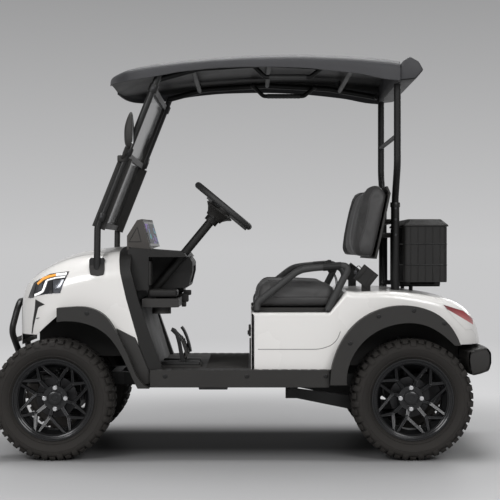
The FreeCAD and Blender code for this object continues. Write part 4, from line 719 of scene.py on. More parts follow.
class CART_OT_finishes(Step, Operator):
    """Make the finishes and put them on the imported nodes"""
    bl_idname = "cart.finishes"
    bl_label = "Finishes"

    def work(self, scene):
        tints = scene.cart_colours
        dull = {"Specular IOR Level": 0.30}
        grained = {"pebble": True, "edge": 0.003, "extra": dull}
        tube = {"edge": 0.0015, "extra": dull}
        finish("body_white", tints.body, 0.24, 160, 0.00006, spread=0.012, cloud=3.0, edge=0.004, dust=0.03,
               extra=coat(0.5, 0.12))
        finish("black_plastic", tints.plastic, 0.52, 700, 0.00035, wear=0.30, dust=0.06, **grained)
        # painted shade: darker copies of the tube and black plastic finishes, for parts that sit in shade
        finish("painted_shade_frame", dim(tints.frame, 0.22), 0.55, 260, 0.00012, wear=0.2, **tube)
        finish("painted_shade_plastic", dim(tints.plastic, 0.42), 0.55, 700, 0.0003, wear=0.2, **grained)
        finish("grey_plastic", dim(tints.plastic, 1.35), 0.50, 700, 0.0003, wear=0.3, **grained)
        # the canopy's down-facing faces take near-black painted shade
        finish("roof_grey", tints.roof, 0.50, 520, 0.0003, pebble=True, edge=0.005, wear=0.2,
               below=(0.006, 0.006, 0.006), extra=dull)
        finish("frame_black", tints.frame, 0.40, 260, 0.00012, wear=0.25, dust=0.04, **tube)
        finish("steel", (0.045, 0.045, 0.048), 0.45, 420, 0.00015, metal=0.6, edge=0.001, wear=0.3, dust=0.10)
        finish("pod_plastic", (0.058, 0.053, 0.049), 0.55, 600, 0.0003, pebble=True, edge=0.002, wear=0.2,
               extra=dull)
        finish("rim_gunmetal", tints.rim, 0.33, 900, 0.00005, metal=0.75, edge=0.0014, wear=0.5, dust=0.05,
               extra=coat(0.35, 0.12))
        finish("tyre_rubber", tints.rubber, 0.80, 330, 0.0003, spread=0.22, dust=0.07, extra=dull)
        finish("floor_rubber", dim(tints.plastic, 0.8), 0.66, 480, 0.0004, pebble=True, dust=0.2)
        finish("grip_rubber", (0.028, 0.028, 0.028), 0.60, 1100, 0.0003, pebble=True)
        finish("battery_case", (0.05, 0.055, 0.065), 0.5, 300, 0.0002, edge=0.003)
        finish("seat_vinyl", tints.seat, 0.50, 620, 0.0004, pebble=True, spread=0.10, cloud=9.0,
               extra={"Sheen Weight": 0.1, "Sheen Roughness": 0.5, "Specular IOR Level": 0.35})
        finish("stitch_thread", (0.11, 0.11, 0.11), 0.8, 2500, 0.0002)
        finish("belt_web", (0.022, 0.022, 0.023), 0.72, 1300, 0.0004, spread=0.2)
        finish("gloss_black", (0.008, 0.008, 0.009), 0.10, 60, 0.00002, spread=0.05, extra=coat(1.0, 0.03))
        finish("bright_metal", (0.62, 0.62, 0.63), 0.22, 500, 0.00004, metal=1.0, spread=0.05)
        finish("seam_shadow", (0.16, 0.155, 0.15), 0.85, 300, 0.0001)
        finish("chrome_shade", (0.10, 0.105, 0.12), 0.16, 90, 0.0002, metal=0.6, spread=0.5, cloud=30.0,
               extra=coat(1.0, 0.03))
        finish("mirror_glass", (0.82, 0.84, 0.85), 0.03, 20, 0.000005, metal=1.0, spread=0.01)
        finish("reflector_red", (0.30, 0.012, 0.014), 0.14, 1200, 0.0004, pebble=True, spread=0.2,
               extra=coat(1.0, 0.05))
        finish("amber_lens", (0.85, 0.36, 0.05), 0.16, 220, 0.0001, spread=0.12,
               extra={"Coat Weight": 1.0, "Emission Color": (1.0, 0.45, 0.08, 1), "Emission Strength": 0.25})
        finish("light_blade", (0.92, 0.92, 0.92), 0.2, 200, 0.00005, spread=0.02,
               extra={"Emission Color": (1.0, 1.0, 1.0, 1), "Emission Strength": 0.35})
        finish("lamp_lens", (0.005, 0.006, 0.009), 0.07, 40, 0.00003, spread=0.3, cloud=14.0,
               extra=coat(1.0, 0.02))
        principled("clear_screen", (0.035, 0.036, 0.035), 0.10, extra={"Alpha": 0.72,
                                                                       "Specular IOR Level": 0.25})
        tail_lens(tints.body)
        lit_screen()
        FINISH["display_black"] = FINISH["pod_plastic"]
        # parts under the roof, in the dash and behind the seat take the darker copies as painted shade
        deep = dict.fromkeys(("rear_basket", "dashboard", "belt_reels", "cowl_liner", "steering_column"),
                             "painted_shade_plastic")
        deep.update(dict.fromkeys(("roof_bows", "roof_rails", "grab_handles", "rear_pillars"), "painted_shade_frame"))
        for name, obj in NODES.items():
            for slot in obj.material_slots:
                slot.material = FINISH[deep.get(name) or slot.material.name.split(".")[0]]


# Operators: stage

def floor(stage):
    """A pale disc that fades into the backdrop, with a painted shadow below the cart."""
    tree, shader = principled("floor", stage.floor, 0.55)
    place = place_of(tree)
    reach = node(tree, "ShaderNodeVectorMath", {"operation": "LENGTH"}, {0: place}, "Value")
    glow = blend(tree, ranged(tree, reach, 2.8, 9.0), dim(stage.backdrop, 1.34), dim(stage.backdrop, 1.14))
    x, y, _ = split(tree, place)
    # painted shadow: in a soft box below the cart the floor darkens to 3% and loses most of its gloss
    covers = []
    for axis, middle, inner, outer in ((x, 0.05, 0.75, 1.25), (y, 0.15, 0.25, 0.85)):
        off = maths(tree, "ABSOLUTE", maths(tree, "SUBTRACT", axis, middle))
        covers.append(ranged(tree, off, inner, outer, 1.0, 0.0, smooth=True))
    shadow = maths(tree, "MULTIPLY", *covers)
    feed(tree, shader, {"Base Color": blend(tree, shadow, stage.floor, dim(stage.floor, 0.03)),
                        "Specular IOR Level": ranged(tree, shadow, 0.0, 1.0, 0.5, 0.04)})
    mix = node(tree, "ShaderNodeMixShader", inputs={
        0: ranged(tree, reach, 1.6, 3.2, smooth=True), 1: shader.outputs[0],
        2: node(tree, "ShaderNodeEmission", inputs={"Color": glow})})
    feed(tree, tree.nodes["Material Output"], {"Surface": mix})
    bm = bmesh.new()
    bmesh.ops.create_circle(bm, cap_ends=True, segments=96, radius=26.0)
    obj = shown("floor", to_mesh(bm, False))
    obj.data.materials.append(FINISH["floor"])


def world(scene, stage):
    """A backdrop that the camera and the glosses see brighter than the surfaces are lit by it."""
    scene.world = bpy.data.worlds.new("world")
    scene.world.use_nodes = True
    tree = scene.world.node_tree
    ray = node(tree, "ShaderNodeLightPath").node.outputs
    seen = maths(tree, "MAXIMUM", ray["Is Camera Ray"], ray["Is Glossy Ray"])
    seen = maths(tree, "MAXIMUM", seen, ray["Is Transmission Ray"])
    height = split(tree, node(tree, "ShaderNodeTexCoord", output="Generated"))["Z"]
    feed(tree, tree.nodes["Background"], {
        "Color": blend(tree, ranged(tree, height, 0.0, 0.17), dim(stage.backdrop, 1.14),
                       dim(stage.backdrop, 0.66)),
        "Strength": ranged(tree, seen, 0.0, 1.0, 0.12, 1.0)})


class CART_OT_stage(Step, Operator):
    """Make the floor, the backdrop light, the lamps and the camera"""
    bl_idname = "cart.stage"
    bl_label = "Stage"

    def work(self, scene):
        stage = scene.cart_stage
        scene.view_settings.view_transform = "Standard"
        data = bpy.data.cameras.new("camera")
        data.lens, data.sensor_width, data.clip_end = stage.lens, 36.0, 200.0
        scene.camera = shown("camera", data)
        scene.camera.location = (LENS_X, -stage.distance, stage.height)
        scene.camera.rotation_euler = (math.pi / 2, 0, 0)
        floor(stage)
        world(scene, stage)
        for name, power, place, size, aim in (
                ("top", stage.key, (0.0, 0.2, 4.4), (3.6, 2.6), (0.0, 0.0, 0.6)),
                ("left", stage.fill, (-3.0, -5.4, 3.3), (2.6, 2.0), (-0.2, 0.0, 0.6)),
                ("near", stage.fill * 0.9, (2.6, -5.6, 3.3), (2.6, 2.0), (0.3, 0.0, 0.6)),
                ("right", stage.fill * 0.4, (3.6, 4.6, 2.8), (3.0, 2.0), (0.0, 0.0, 0.9))):
            data = bpy.data.lights.new(name, "AREA")
            data.shape, data.energy = "RECTANGLE", power
            data.size, data.size_y = size
            lamp = shown(name, data)
            lamp.location = place
            lamp.rotation_mode = "QUATERNION"
            lamp.rotation_quaternion = (Vector(aim) - Vector(place)).to_track_quat("-Z", "Y")


# Operators: wheels

# Vertex angle and radius, then the two tip angles, of the two forks beside each nut
FORKS = ((-14.0, 0.0917, -25.0, 20.0), (38.0, 0.114, 27.0, 60.0))
HUB, LIP, FACE, TIP_Y = 0.062, 0.195, -0.015, -0.084
# Half sections as (radius, y) pairs, metres: tyre wall, rim outside and inside, and hub
WALL = ((0.1786, 0.0838), (0.1870, 0.0846), (0.1953, 0.0878), (0.1990, 0.0925), (0.2030, 0.0978),
        (0.2062, 0.1015), (0.2075, 0.1050), (0.2100, 0.1052), (0.2112, 0.1028), (0.2180, 0.1085),
        (0.2260, 0.1140), (0.2350, 0.1186), (0.2400, 0.1200), (0.2412, 0.1216), (0.2436, 0.1217),
        (0.2448, 0.1204), (0.2520, 0.1200), (0.2600, 0.1172), (0.2660, 0.1125), (0.2715, 0.1050))
BARREL = ((0.195, -0.0950), (0.1955, -0.0935), (0.1950, -0.0885), (0.1779, -0.0841), (0.1779, -0.058),
          (0.156, -0.040), (0.156, 0.040), (0.1779, 0.058), (0.1779, 0.0841), (0.195, 0.0885),
          (0.195, 0.095), (0.190, 0.095), (0.186, 0.088), (0.171, 0.078), (0.171, 0.058), (0.149, 0.038),
          (0.149, -0.036), (0.166, -0.056), (0.1675, -0.070), (0.172, -0.0735), (0.1735, -0.0800),
          (0.1800, -0.0830), (0.1815, -0.0875), (0.1865, -0.0900), (0.1885, -0.0945))
BOSS = ((0.0, -0.0245), (0.0110, -0.0245), (0.0118, -0.0232), (0.0160, -0.0232), (0.0168, -0.0245),
        (0.0270, -0.0243), (0.0315, -0.0225), (0.0330, -0.0195), (0.0330, -0.0150), (0.0370, -0.0150),
        (0.0378, -0.0165), (0.0405, -0.0165), (0.0412, -0.0150), (0.0590, -0.0150), (0.0625, -0.0120),
        (0.0625, 0.0110), (0.046, 0.0110), (0.046, 0.0497), (0.030, 0.0497), (0.030, 0.004), (0.0, 0.004))


def wheel_matrix(end, side):
    """From the wheel's own frame, outer side at -Y, to its corner of the cart."""
    low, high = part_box(f"tyre_{end}_{side}")
    turn = Matrix.Rotation(math.pi if side == "right" else 0.0, 4, "Z")
    return Matrix.Translation((low + high) / 2) @ turn


def lug(outline, half):
    """A lug across the tread from an outline of (radius, y), a little smaller at both ends."""
    middle = [sum(values) / len(outline) for values in zip(*outline)]
    bm = bmesh.new()
    ends = ((-half, 0.94), (-half + 0.0015, 1.0), (half - 0.0015, 1.0), (half, 0.94))
    loft(bm, [[(place, middle[1] + (y - middle[1]) * shrink, middle[0] + (r - middle[0]) * shrink)
               for r, y in outline] for place, shrink in ends])
    return to_mesh(bm)


class CART_OT_tyres(Step, Operator):
    """Make the tyres with their ribbed side walls and blocky tread"""
    bl_idname = "cart.tyres"
    bl_label = "Tyres"

    def work(self, scene):
        wheels = scene.cart_wheels
        tip = (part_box("tyre_front_left")[1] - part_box("tyre_front_left")[0]).z / 2
        base = tip - wheels.lug_height
        side = [*WALL, (base - 0.0018, 0.0960), (base, 0.0800), (base + 0.0003, 0.0400)]
        bm = bmesh.new()
        lathe(bm, side + [(radius, -y) for radius, y in reversed(side)], 144)
        meshes = [to_mesh(bm)]
        half, count = wheels.lug_width / 2, wheels.lug_count
        crown = [(tip, 0.0930), (tip - 0.0045, 0.1040)]
        for sign in (-1, 1):
            for inner, outer, phase in (
                    (0.068, [(0.2730, 0.1165), (0.2640, 0.1215), (0.2560, 0.1228), (0.2550, 0.1180),
                             (0.2660, 0.1100)], 0.0),
                    (0.074, [(0.2755, 0.1135), (0.2715, 0.1165), (0.2690, 0.1120)], 0.5)):
                outline = [(tip - 0.0003, inner), *crown, *outer, (base, 0.094), (base - 0.002, inner)]
                meshes.append(pattern(ring, lug([(r, sign * y) for r, y in outline], half), Count=count // 2,
                                      Phase=phase + (0.25 if sign > 0 else 0.0)))
        for y, reach, phase in ((-0.046, 0.022, 0.0), (-0.0155, 0.013, 0.5), (0.0155, 0.013, 0.0),
                                (0.046, 0.022, 0.5)):
            bm = bmesh.new()
            turn = Matrix.Rotation(math.radians(math.copysign(18, y)), 3, "Z")
            box(bm, (-half * 0.92, y - reach / 1.6, base - 0.002),
                (half * 0.92, y + reach / 1.6, tip - 0.0004), 0.0016, turn, 1)
            meshes.append(pattern(ring, to_mesh(bm), Count=count, Phase=phase))
        tyre = merged(meshes)
        for end, side_name in WHEELS:
            made = placed(f"tread_{end}_{side_name}", moved(tyre, wheel_matrix(end, side_name)),
                          "tyre_rubber", f"wheel_{end}_{side_name}", 32)
            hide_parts(f"tyre_{end}_{side_name}")


def dish(angle, radius):
    """A point on the dished front of the spokes."""
    share = max((radius - HUB) / (LIP - HUB), 0.0)
    turn = math.radians(angle)
    return Vector((radius * math.cos(turn), FACE + (TIP_Y - FACE) * share, radius * math.sin(turn)))


def spoke(bm, start, end, start_width, end_width, depth=0.024):
    """A spoke with chamfered shoulders and a shallow groove along its face."""
    run = end - start
    side = Vector((-run.z, 0, run.x)).normalized()
    edge = [(1.0, depth), (1.0, 0.0055), (0.72, 0.0), (0.30, 0.0), (0.18, 0.0018)]
    line = [(-a, b) for a, b in edge] + edge[::-1]
    rings = []
    for share in (0.0, 0.25, 0.5, 0.75, 1.0):
        half = (start_width + (end_width - start_width) * share) / 2
        rings.append([start.lerp(end, share) + side * (half * a) + Vector((0, b, 0)) for a, b in line])
    loft(bm, rings)


class CART_OT_rims(Step, Operator):
    """Make the forked alloy rims with their caps, nuts and valves"""
    bl_idname = "cart.rims"
    bl_label = "Rims"

    def work(self, scene):
        wheels = scene.cart_wheels
        root, tip_width = wheels.spoke_width, wheels.spoke_tip
        bm = bmesh.new()
        lathe(bm, BARREL, 128)
        lathe(bm, BOSS, 72)
        for base in (0.0, 90.0, 180.0, 270.0):
            for angle, radius, *tips in FORKS:
                vertex = dish(base + angle, radius)
                spoke(bm, dish(base + angle, HUB - 0.006), vertex, root * 1.05, root * 0.95)
                for tip in tips:
                    spoke(bm, vertex, dish(base + tip, 0.1755), root * 0.92, tip_width)
                lathe(bm, [(0.0, 0.0), (root * 0.36, 0.0), (root * 0.5, 0.0055), (root * 0.5, 0.024),
                           (0.0, 0.024)], 20, vertex)
        bm.normal_update()
        bmesh.ops.recalc_face_normals(bm, faces=bm.faces)
        alloy = to_mesh(bm, False)
        nuts = [(Vector((0.0508 * math.cos(turn), FACE, 0.0508 * math.sin(turn))), -ACROSS)
                for turn in (0, math.pi / 2, math.pi, math.pi * 1.5)]
        bolts = pattern(screws, points_mesh(nuts), Radius=wheels.nut_size, Height=0.0125, Sides=6)
        edge = [(dish(angle, 0.1835) - ACROSS * 0.0085, -ACROSS) for angle in range(9, 360, 18)]
        studs = pattern(screws, points_mesh(edge), Radius=0.0026, Height=0.0018, Sides=6)
        bm = bmesh.new()
        foot = dish(64, 0.160) + ACROSS * 0.012
        stem = [foot + ACROSS * 0.02, foot, foot + Vector((-0.004, -0.018, -0.008))]
        sweep(bm, eased(stem, 0.008), 0.0032, 10)
        valve = to_mesh(bm)
        for end, side_name in WHEELS:
            for name, mesh, look, slot, angle in (
                    ("alloy", alloy, "rim_gunmetal", "rim_gunmetal", 28),
                    ("nuts", bolts, "bright_metal", "steel", 25),
                    ("rim_studs", studs, "steel", "steel", 25),
                    ("valve", valve, "grip_rubber", "grip_rubber", 38)):
                made = placed(f"{name}_{end}_{side_name}", moved(mesh, wheel_matrix(end, side_name)), look,
                              f"wheel_{end}_{side_name}", angle)
                if name == "alloy":
                    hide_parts(f"rim_{end}_{side_name}")


# Operators: seat

def stuffed(section, half, power=11, stations=56):
    """A closed form through sections across the cart that round off at both ends."""
    rings = []
    for index in range(1, stations):
        y = half * math.sin(-math.pi / 2 + math.pi * index / stations)
        outline = [Vector((x, y, z)) for x, z in section(y)]
        middle = sum(outline, Vector()) / len(outline)
        squeeze = (1 - abs(y / half) ** power) ** (1 / power)
        rings.append([middle + (point - middle) * squeeze for point in outline])
    bm = bmesh.new()
    loft(bm, rings)
    return to_mesh(bm)


def coordinates(source, key="co"):
    values = np.zeros(len(source) * 3, np.float32)
    source.foreach_get(key, values)
    return values.reshape(-1, 3).astype(float)


def put(mesh, co):
    mesh.vertices.foreach_set("co", co.astype(np.float32).ravel())
    mesh.update()


def puff(mesh, seat, pinned):
    """Fills a cover by cloth pressure with its resting side pinned, and caps how far it swells."""
    mesh = settled(mesh, "REMESH", {"mode": "VOXEL", "voxel_size": seat.cell})
    rest = coordinates(mesh.vertices)
    obj = shown("cover", mesh)
    group = obj.vertex_groups.new(name="pin")
    group.add([int(index) for index in np.nonzero(pinned(rest))[0]], 1.0, "REPLACE")
    cloth = obj.modifiers.new("cloth", "CLOTH")
    for key, value in {"quality": 5, "mass": 0.3, "tension_stiffness": 12, "compression_stiffness": 12,
                       "shear_stiffness": 5, "bending_stiffness": 0.6, "use_pressure": True,
                       "uniform_pressure_force": seat.pressure, "vertex_group_mass": "pin"}.items():
        setattr(cloth.settings, key, value)
    cloth.settings.effector_weights.gravity = 0.0
    cloth.point_cache.frame_start, cloth.point_cache.frame_end = 1, CLOTH_FRAMES
    for step in range(1, CLOTH_FRAMES + 1):
        bpy.context.scene.frame_set(step)
    shift = coordinates(evaluated(obj).vertices) - rest
    size = np.linalg.norm(shift, axis=1, keepdims=True)
    bpy.data.objects.remove(obj)
    put(mesh, rest + shift * np.minimum(1.0, seat.swell / np.maximum(size, 1e-9)))
    bpy.context.scene.frame_set(1)
    mesh = settled(mesh, "SMOOTH", {"factor": 0.5, "iterations": 8})
    return settled(mesh, "SUBSURF", {"levels": 1, "render_levels": 1})


def step_up(value, start, end):
    share = np.clip((value - start) / (end - start), 0.0, 1.0)
    return share * share * (3 - 2 * share)


def sew(mesh, seat, inside, towards, low, high):
    """Presses the same channels into each rider's half, and keeps the cover inside its box."""
    co = coordinates(mesh.vertices)
    normal = coordinates(mesh.vertex_normals, "vector")
    press = np.zeros(len(co))
    lines = [centre + (index - 2.5) * seat.pleat_pitch for centre in (-0.225, 0.225) for index in range(6)]
    for line in lines:
        off = np.abs(co[:, 1] - line)
        press += np.exp(-(off / 0.0055) ** 2) - 0.30 * np.exp(-((off - 0.5 * seat.pleat_pitch) / 0.016) ** 2)
    press *= step_up(normal @ np.array(towards), 0.15, 0.6) * inside(co) * seat.pleat_depth
    co -= normal * press[:, None]
    put(mesh, np.clip(co, np.array(low) - 0.002, np.array(high) + 0.002))


def covered(mesh, name, body, replaced):
    """Shows a cover, and returns its surface."""
    made = placed(name, mesh, "seat_vinyl", body, 80)
    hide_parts(replaced)
    return surface(mesh)


def trimmed(name, body, piping, threads, seat):
    """Shows a cover's piping and stitches."""
    bm = bmesh.new()
    for line, radius in piping:
        sweep(bm, line, radius, 8)
    placed(name + "_piping", bm, "seat_vinyl", body, 60, merge=True)
    stitched = sewn(threads, Pitch=seat.stitch_pitch)
    placed(name + "_stitches", stitched, "stitch_thread", body, 60)


def cushion(seat):
    low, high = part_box("seat_cushion")
    deep, tall = high.x - low.x, high.z - low.z
    shares = ((0.010, 0.02), (0.004, 0.30), (0.012, 0.58), (0.040, 0.80), (0.095, 0.905), (0.18, 0.925),
              (0.50, 0.895), (0.80, 0.845), (0.925, 0.79), (0.970, 0.66), (0.984, 0.36), (0.970, 0.02),
              (0.75, 0.015), (0.50, 0.015), (0.25, 0.015))

    def section(y):
        bolster = 0.07 * float(step_up(abs(y), 0.39, 0.44) - step_up(abs(y), 0.465, 0.49))
        crown = bolster - 0.03 * math.exp(-(y / 0.010) ** 2)
        return [(low.x + a * deep, low.z + (b + (crown if b > 0.75 else 0.0)) * tall) for a, b in shares]

    def inside(co):
        across = 1 - step_up(np.abs(co[:, 1]), 0.385, 0.40)
        along = 1 - step_up(co[:, 0], high.x - 0.045, high.x - 0.03)
        return across * along * step_up(co[:, 2], low.z + 0.035, low.z + 0.06)

    mesh = puff(stuffed(section, high.y - 0.006), seat, lambda co: co[:, 2] < low.z + 0.008)
    sew(mesh, seat, inside, (-0.35, 0.0, 0.94), low, high)
    tree = covered(mesh, "cushion_cover", "seat", "seat_cushion")
    front, rear, reach, z = low.x + 0.050, high.x - 0.036, high.y - 0.035, low.z + 0.052
    piping, threads = [], []
    for side in SIDES.values():
        edge, *seams = [laid(tree, [(front, side * y, 1.0), (rear, side * y, 1.0)], DOWN, lift)
                        for y, lift in ((0.404, 0.0012), (0.394, 0.0006), (0.414, 0.0006))]
        belt = laid(tree, [(low.x + 0.03, side * reach * 2, z), (high.x - 0.03, side * reach * 2, z)],
                    (0, -side, 0), 0.0010)
        piping += [(edge, 0.0036), (belt, 0.0034)]
        threads += seams
    piping.append((laid(tree, [(rear, -0.404, 1.0), (rear, 0.404, 1.0)], DOWN, 0.0012), 0.0036))
    piping.append((laid(tree, [(0.0, -reach, z), (0.0, reach, z)], BACK, 0.0010), 0.0034))
    trimmed("cushion", "seat", piping, threads, seat)


def backrest(seat):
    low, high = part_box("backrest")
    foot, tall, deep, front_x, front_z = 0.946, 0.380, 0.178, 0.526, 0.957
    lean = 0.071 / 0.352

    def section(y):
        pad = float(1 - step_up(abs(y), 0.345, 0.385))
        flat = pad * (1 - math.exp(-(y / 0.045) ** 2))
        ridge = 0.012 * math.exp(-((abs(y) - 0.415) / 0.016) ** 2)
        ahead = 0.012 * flat - ridge + 0.004 * math.exp(-(y / 0.010) ** 2) + 0.008
        top = foot + tall * (0.955 - 0.030 * flat)
        base = foot + tall * (0.045 + 0.03 * pad)
        line = []
        for share in (0.0, 0.12, 0.3, 0.5, 0.7, 0.88, 1.0):
            z = base + (top - base) * share
            bow = 0.014 * (abs(share - 0.5) * 2) ** 3 - 0.006 * math.sin(math.pi * share) * pad
            line.append((front_x + lean * (z - front_z) + ahead + bow, z))
        line.append((front_x + lean * (top - front_z) + ahead + 0.034, top + 0.014))
        line.append((front_x + deep * (0.66 + 0.06 * (1 - pad)), top + 0.018))
        line.append((front_x + deep * 0.84, top + 0.008))
        return line + [(front_x + deep * a, foot + tall * b) for a, b in (
            (0.945, 0.85), (0.80, 0.52), (0.66, 0.24), (0.56, 0.055), (0.36, 0.035))]

    def pinned(co):
        rear = front_x + deep * (0.60 + 0.38 * (co[:, 2] - front_z) / 0.3154)
        return co[:, 0] > rear - 0.022

    def inside(co):
        return (1 - step_up(np.abs(co[:, 1]), 0.365, 0.385)) * step_up(co[:, 2], low.z + 0.03, low.z + 0.06)

    mesh = puff(stuffed(section, high.y - 0.006), seat, pinned)
    sew(mesh, seat, inside, (-0.98, 0.0, 0.2), low, high)
    tree = covered(mesh, "backrest_cover", "cart", "backrest")
    piping, threads = [], []
    for side in SIDES.values():
        edge, rim, *seams = [
            laid(tree, [(0, side * y, low.z + foot_gap), (0, side * y, high.z - top_gap)], BACK, lift)
            for y, foot_gap, top_gap, lift in ((0.392, 0.045, 0.050, 0.001), (0.452, 0.035, 0.030, 0.001),
                                               (0.383, 0.05, 0.055, 0.0006), (0.401, 0.05, 0.055, 0.0006))]
        piping += [(edge, 0.0036), (rim, 0.0034)]
        threads += seams
    trimmed("backrest", "cart", piping, threads, seat)


class CART_OT_seat(Step, Operator):
    """Make the cushion and the backrest with their channels, piping and stitches"""
    bl_idname = "cart.seat"
    bl_label = "Seat"

    def work(self, scene):
        cushion(scene.cart_seat)
        backrest(scene.cart_seat)


# Operators: lamps, painted seam shadows and nose

# Look, lower line and upper line in the camera's view, and lift
LAMP_PATCHES = (
    ("light_blade", [(56.2, 275.9), (66.4, 275.3)], [(56.2, 273.9), (67.2, 272.6)], 0.0030),
    ("light_blade", [(47.2, 281.0), (56.3, 278.5), (65.0, 277.6)],
     [(47.0, 279.7), (56.3, 277.2), (65.4, 276.3)], 0.0030),
    ("light_blade", [(47.6, 281.0), (46.2, 285.8), (43.7, 292.0), (40.4, 294.2), (34.8, 296.4)],
     [(46.3, 280.4), (44.7, 283.8), (42.2, 290.6), (38.6, 292.6), (34.8, 294.2)], 0.0030),
    ("amber_lens", [(38.2, 284.9), (43.8, 280.0), (49.5, 277.6), (57.0, 275.8)],
     [(37.2, 283.4), (42.8, 278.0), (49.5, 275.3), (57.2, 273.8)], 0.0026),
    ("chrome_shade", [(53.6, 293.4), (60.2, 293.2)], [(53.2, 280.6), (65.0, 279.4)], 0.0022),
    ("chrome_shade", [(37.6, 291.6), (41.4, 290.2)], [(39.6, 285.0), (43.4, 282.6)], 0.0022),
    ("gloss_black", [(49.6, 293.6), (52.4, 293.8)], [(49.8, 280.6), (52.6, 280.2)], 0.0030),
    ("gloss_black", [(29.8, 298.2), (33.4, 298.0)], [(34.0, 285.6), (36.6, 283.0)], 0.0020),
)


class CART_OT_lamps(Step, Operator):
    """Dress the headlamps with their light blades, chambers and bezels"""
    bl_idname = "cart.lamps"
    bl_label = "Lamps"

    def work(self, scene):
        head = surface("headlamps", "front_cowl")
        looks = {look: bmesh.new() for look, *_ in LAMP_PATCHES}
        for side in SIDES.values():
            for look, lower, upper, lift in LAMP_PATCHES:
                lines = sighted(lower, side), sighted(upper, side)
                sheet_on(looks[look], head, sight(side), *lines, 18, 6, lift)
        for look, bm in looks.items():
            placed("lamp_" + look, bm, look)


class CART_OT_panels(Step, Operator):
    """Lay painted shadow strips along the shut lines, and the screws, on the body panels"""
    bl_idname = "cart.panels"
    bl_label = "Panels"

    def work(self, scene):
        trim = scene.cart_trim
        cowl, rear = surface("front_cowl"), surface("rear_body")
        flare = surface("wheel_flares", "sills", "cowl_liner", "rear_bumper")
        seams, plates, slots, corners, places = bmesh.new(), bmesh.new(), bmesh.new(), bmesh.new(), []
        for side in SIDES.values():
            way = (0, -side, 0)
            # painted shadow: dark strips along the rear crease and the bonnet's shut line
            crease = [(0.070, 0.527), (0.365, 0.527), (0.420, 0.545), (0.450, 0.575), (0.463, 0.612)]
            ribbon(seams, rear, eased([(x, side * 0.6, z) for x, z in crease], 0.03), way, trim.seam_width,
                   0.0005)
            bonnet = [(-1.020, 0.30), (-0.900, 0.385), (-0.760, 0.415), (-0.560, 0.425)]
            ribbon(seams, cowl, eased([(x, side * y, 1.2) for x, y in bonnet], 0.05), DOWN, trim.seam_width,
                   0.0005)
            low = [(89.6, 270.0), (90.4, 275.0), (97.0, 276.2), (103.6, 275.0), (104.6, 270.0)]
            top = [(89.6, 266.0), (90.4, 260.8), (97.0, 259.6), (103.6, 259.6), (104.6, 264.0)]
            sheet_on(plates, cowl, sight(side), sighted(low, side), sighted(top, side), 16, 8, 0.0075)
            outer = [(35.6, 299.4), (35.0, 308.8), (32.8, 322.3), (31.4, 338.4)]
            inner = [(44.8, 304.4), (38.2, 307.4), (34.0, 325.0), (31.8, 338.4)]
            sheet_on(slots, cowl, sight(side), sighted(outer, side), sighted(inner, side), 24, 6, 0.0016)
            corner = [(-0.604, 0.628), (-0.513, 0.582), (-0.486, 0.515), (-0.458, 0.445), (-0.420, 0.372),
                      (-0.474, 0.356), (-0.528, 0.430), (-0.563, 0.520)]
            plate(corners, corner, side * 0.5435, side * 0.5585, 0.004)
            for x, z in ((-0.370, 0.402), (0.018, 0.402), (0.392, 0.402), (-0.737, 0.702), (-0.598, 0.628),
                         (-0.505, 0.520), (0.505, 0.560), (0.640, 0.688), (0.806, 0.715), (0.950, 0.655)):
                found = cast(flare, (x, side * 0.6, z), way, 0.0)
                if found:
                    places.append((found[0], (found[0] - found[1]).normalized()))
        # painted shadow strip along the seam across the seat box's front
        ribbon(seams, rear, [(0, -0.50, 0.527), (0, 0.50, 0.527)], BACK, trim.seam_width, 0.0005)
        placed("shut_line_shadows", seams, "seam_shadow")
        placed("strut_feet", plates)
        placed("nose_slots", slots)
        placed("lower_corners", corners, angle=38, merge=True)
        heads = pattern(screws, points_mesh(places), Radius=trim.screw_radius, Height=0.0036, Sides=6)
        placed("panel_screws", heads, "frame_black", angle=25)
        latch = bmesh.new()
        box(latch, (0.0255, -0.470, 0.585), (0.0368, -0.425, 0.640), 0.003)
        box(latch, (0.0205, -0.462, 0.592), (0.0260, -0.433, 0.612))
        box(latch, (0.0300, -0.450, 0.500), (0.0368, -0.430, 0.575))
        placed("seat_box_latch", latch, angle=38, merge=True)


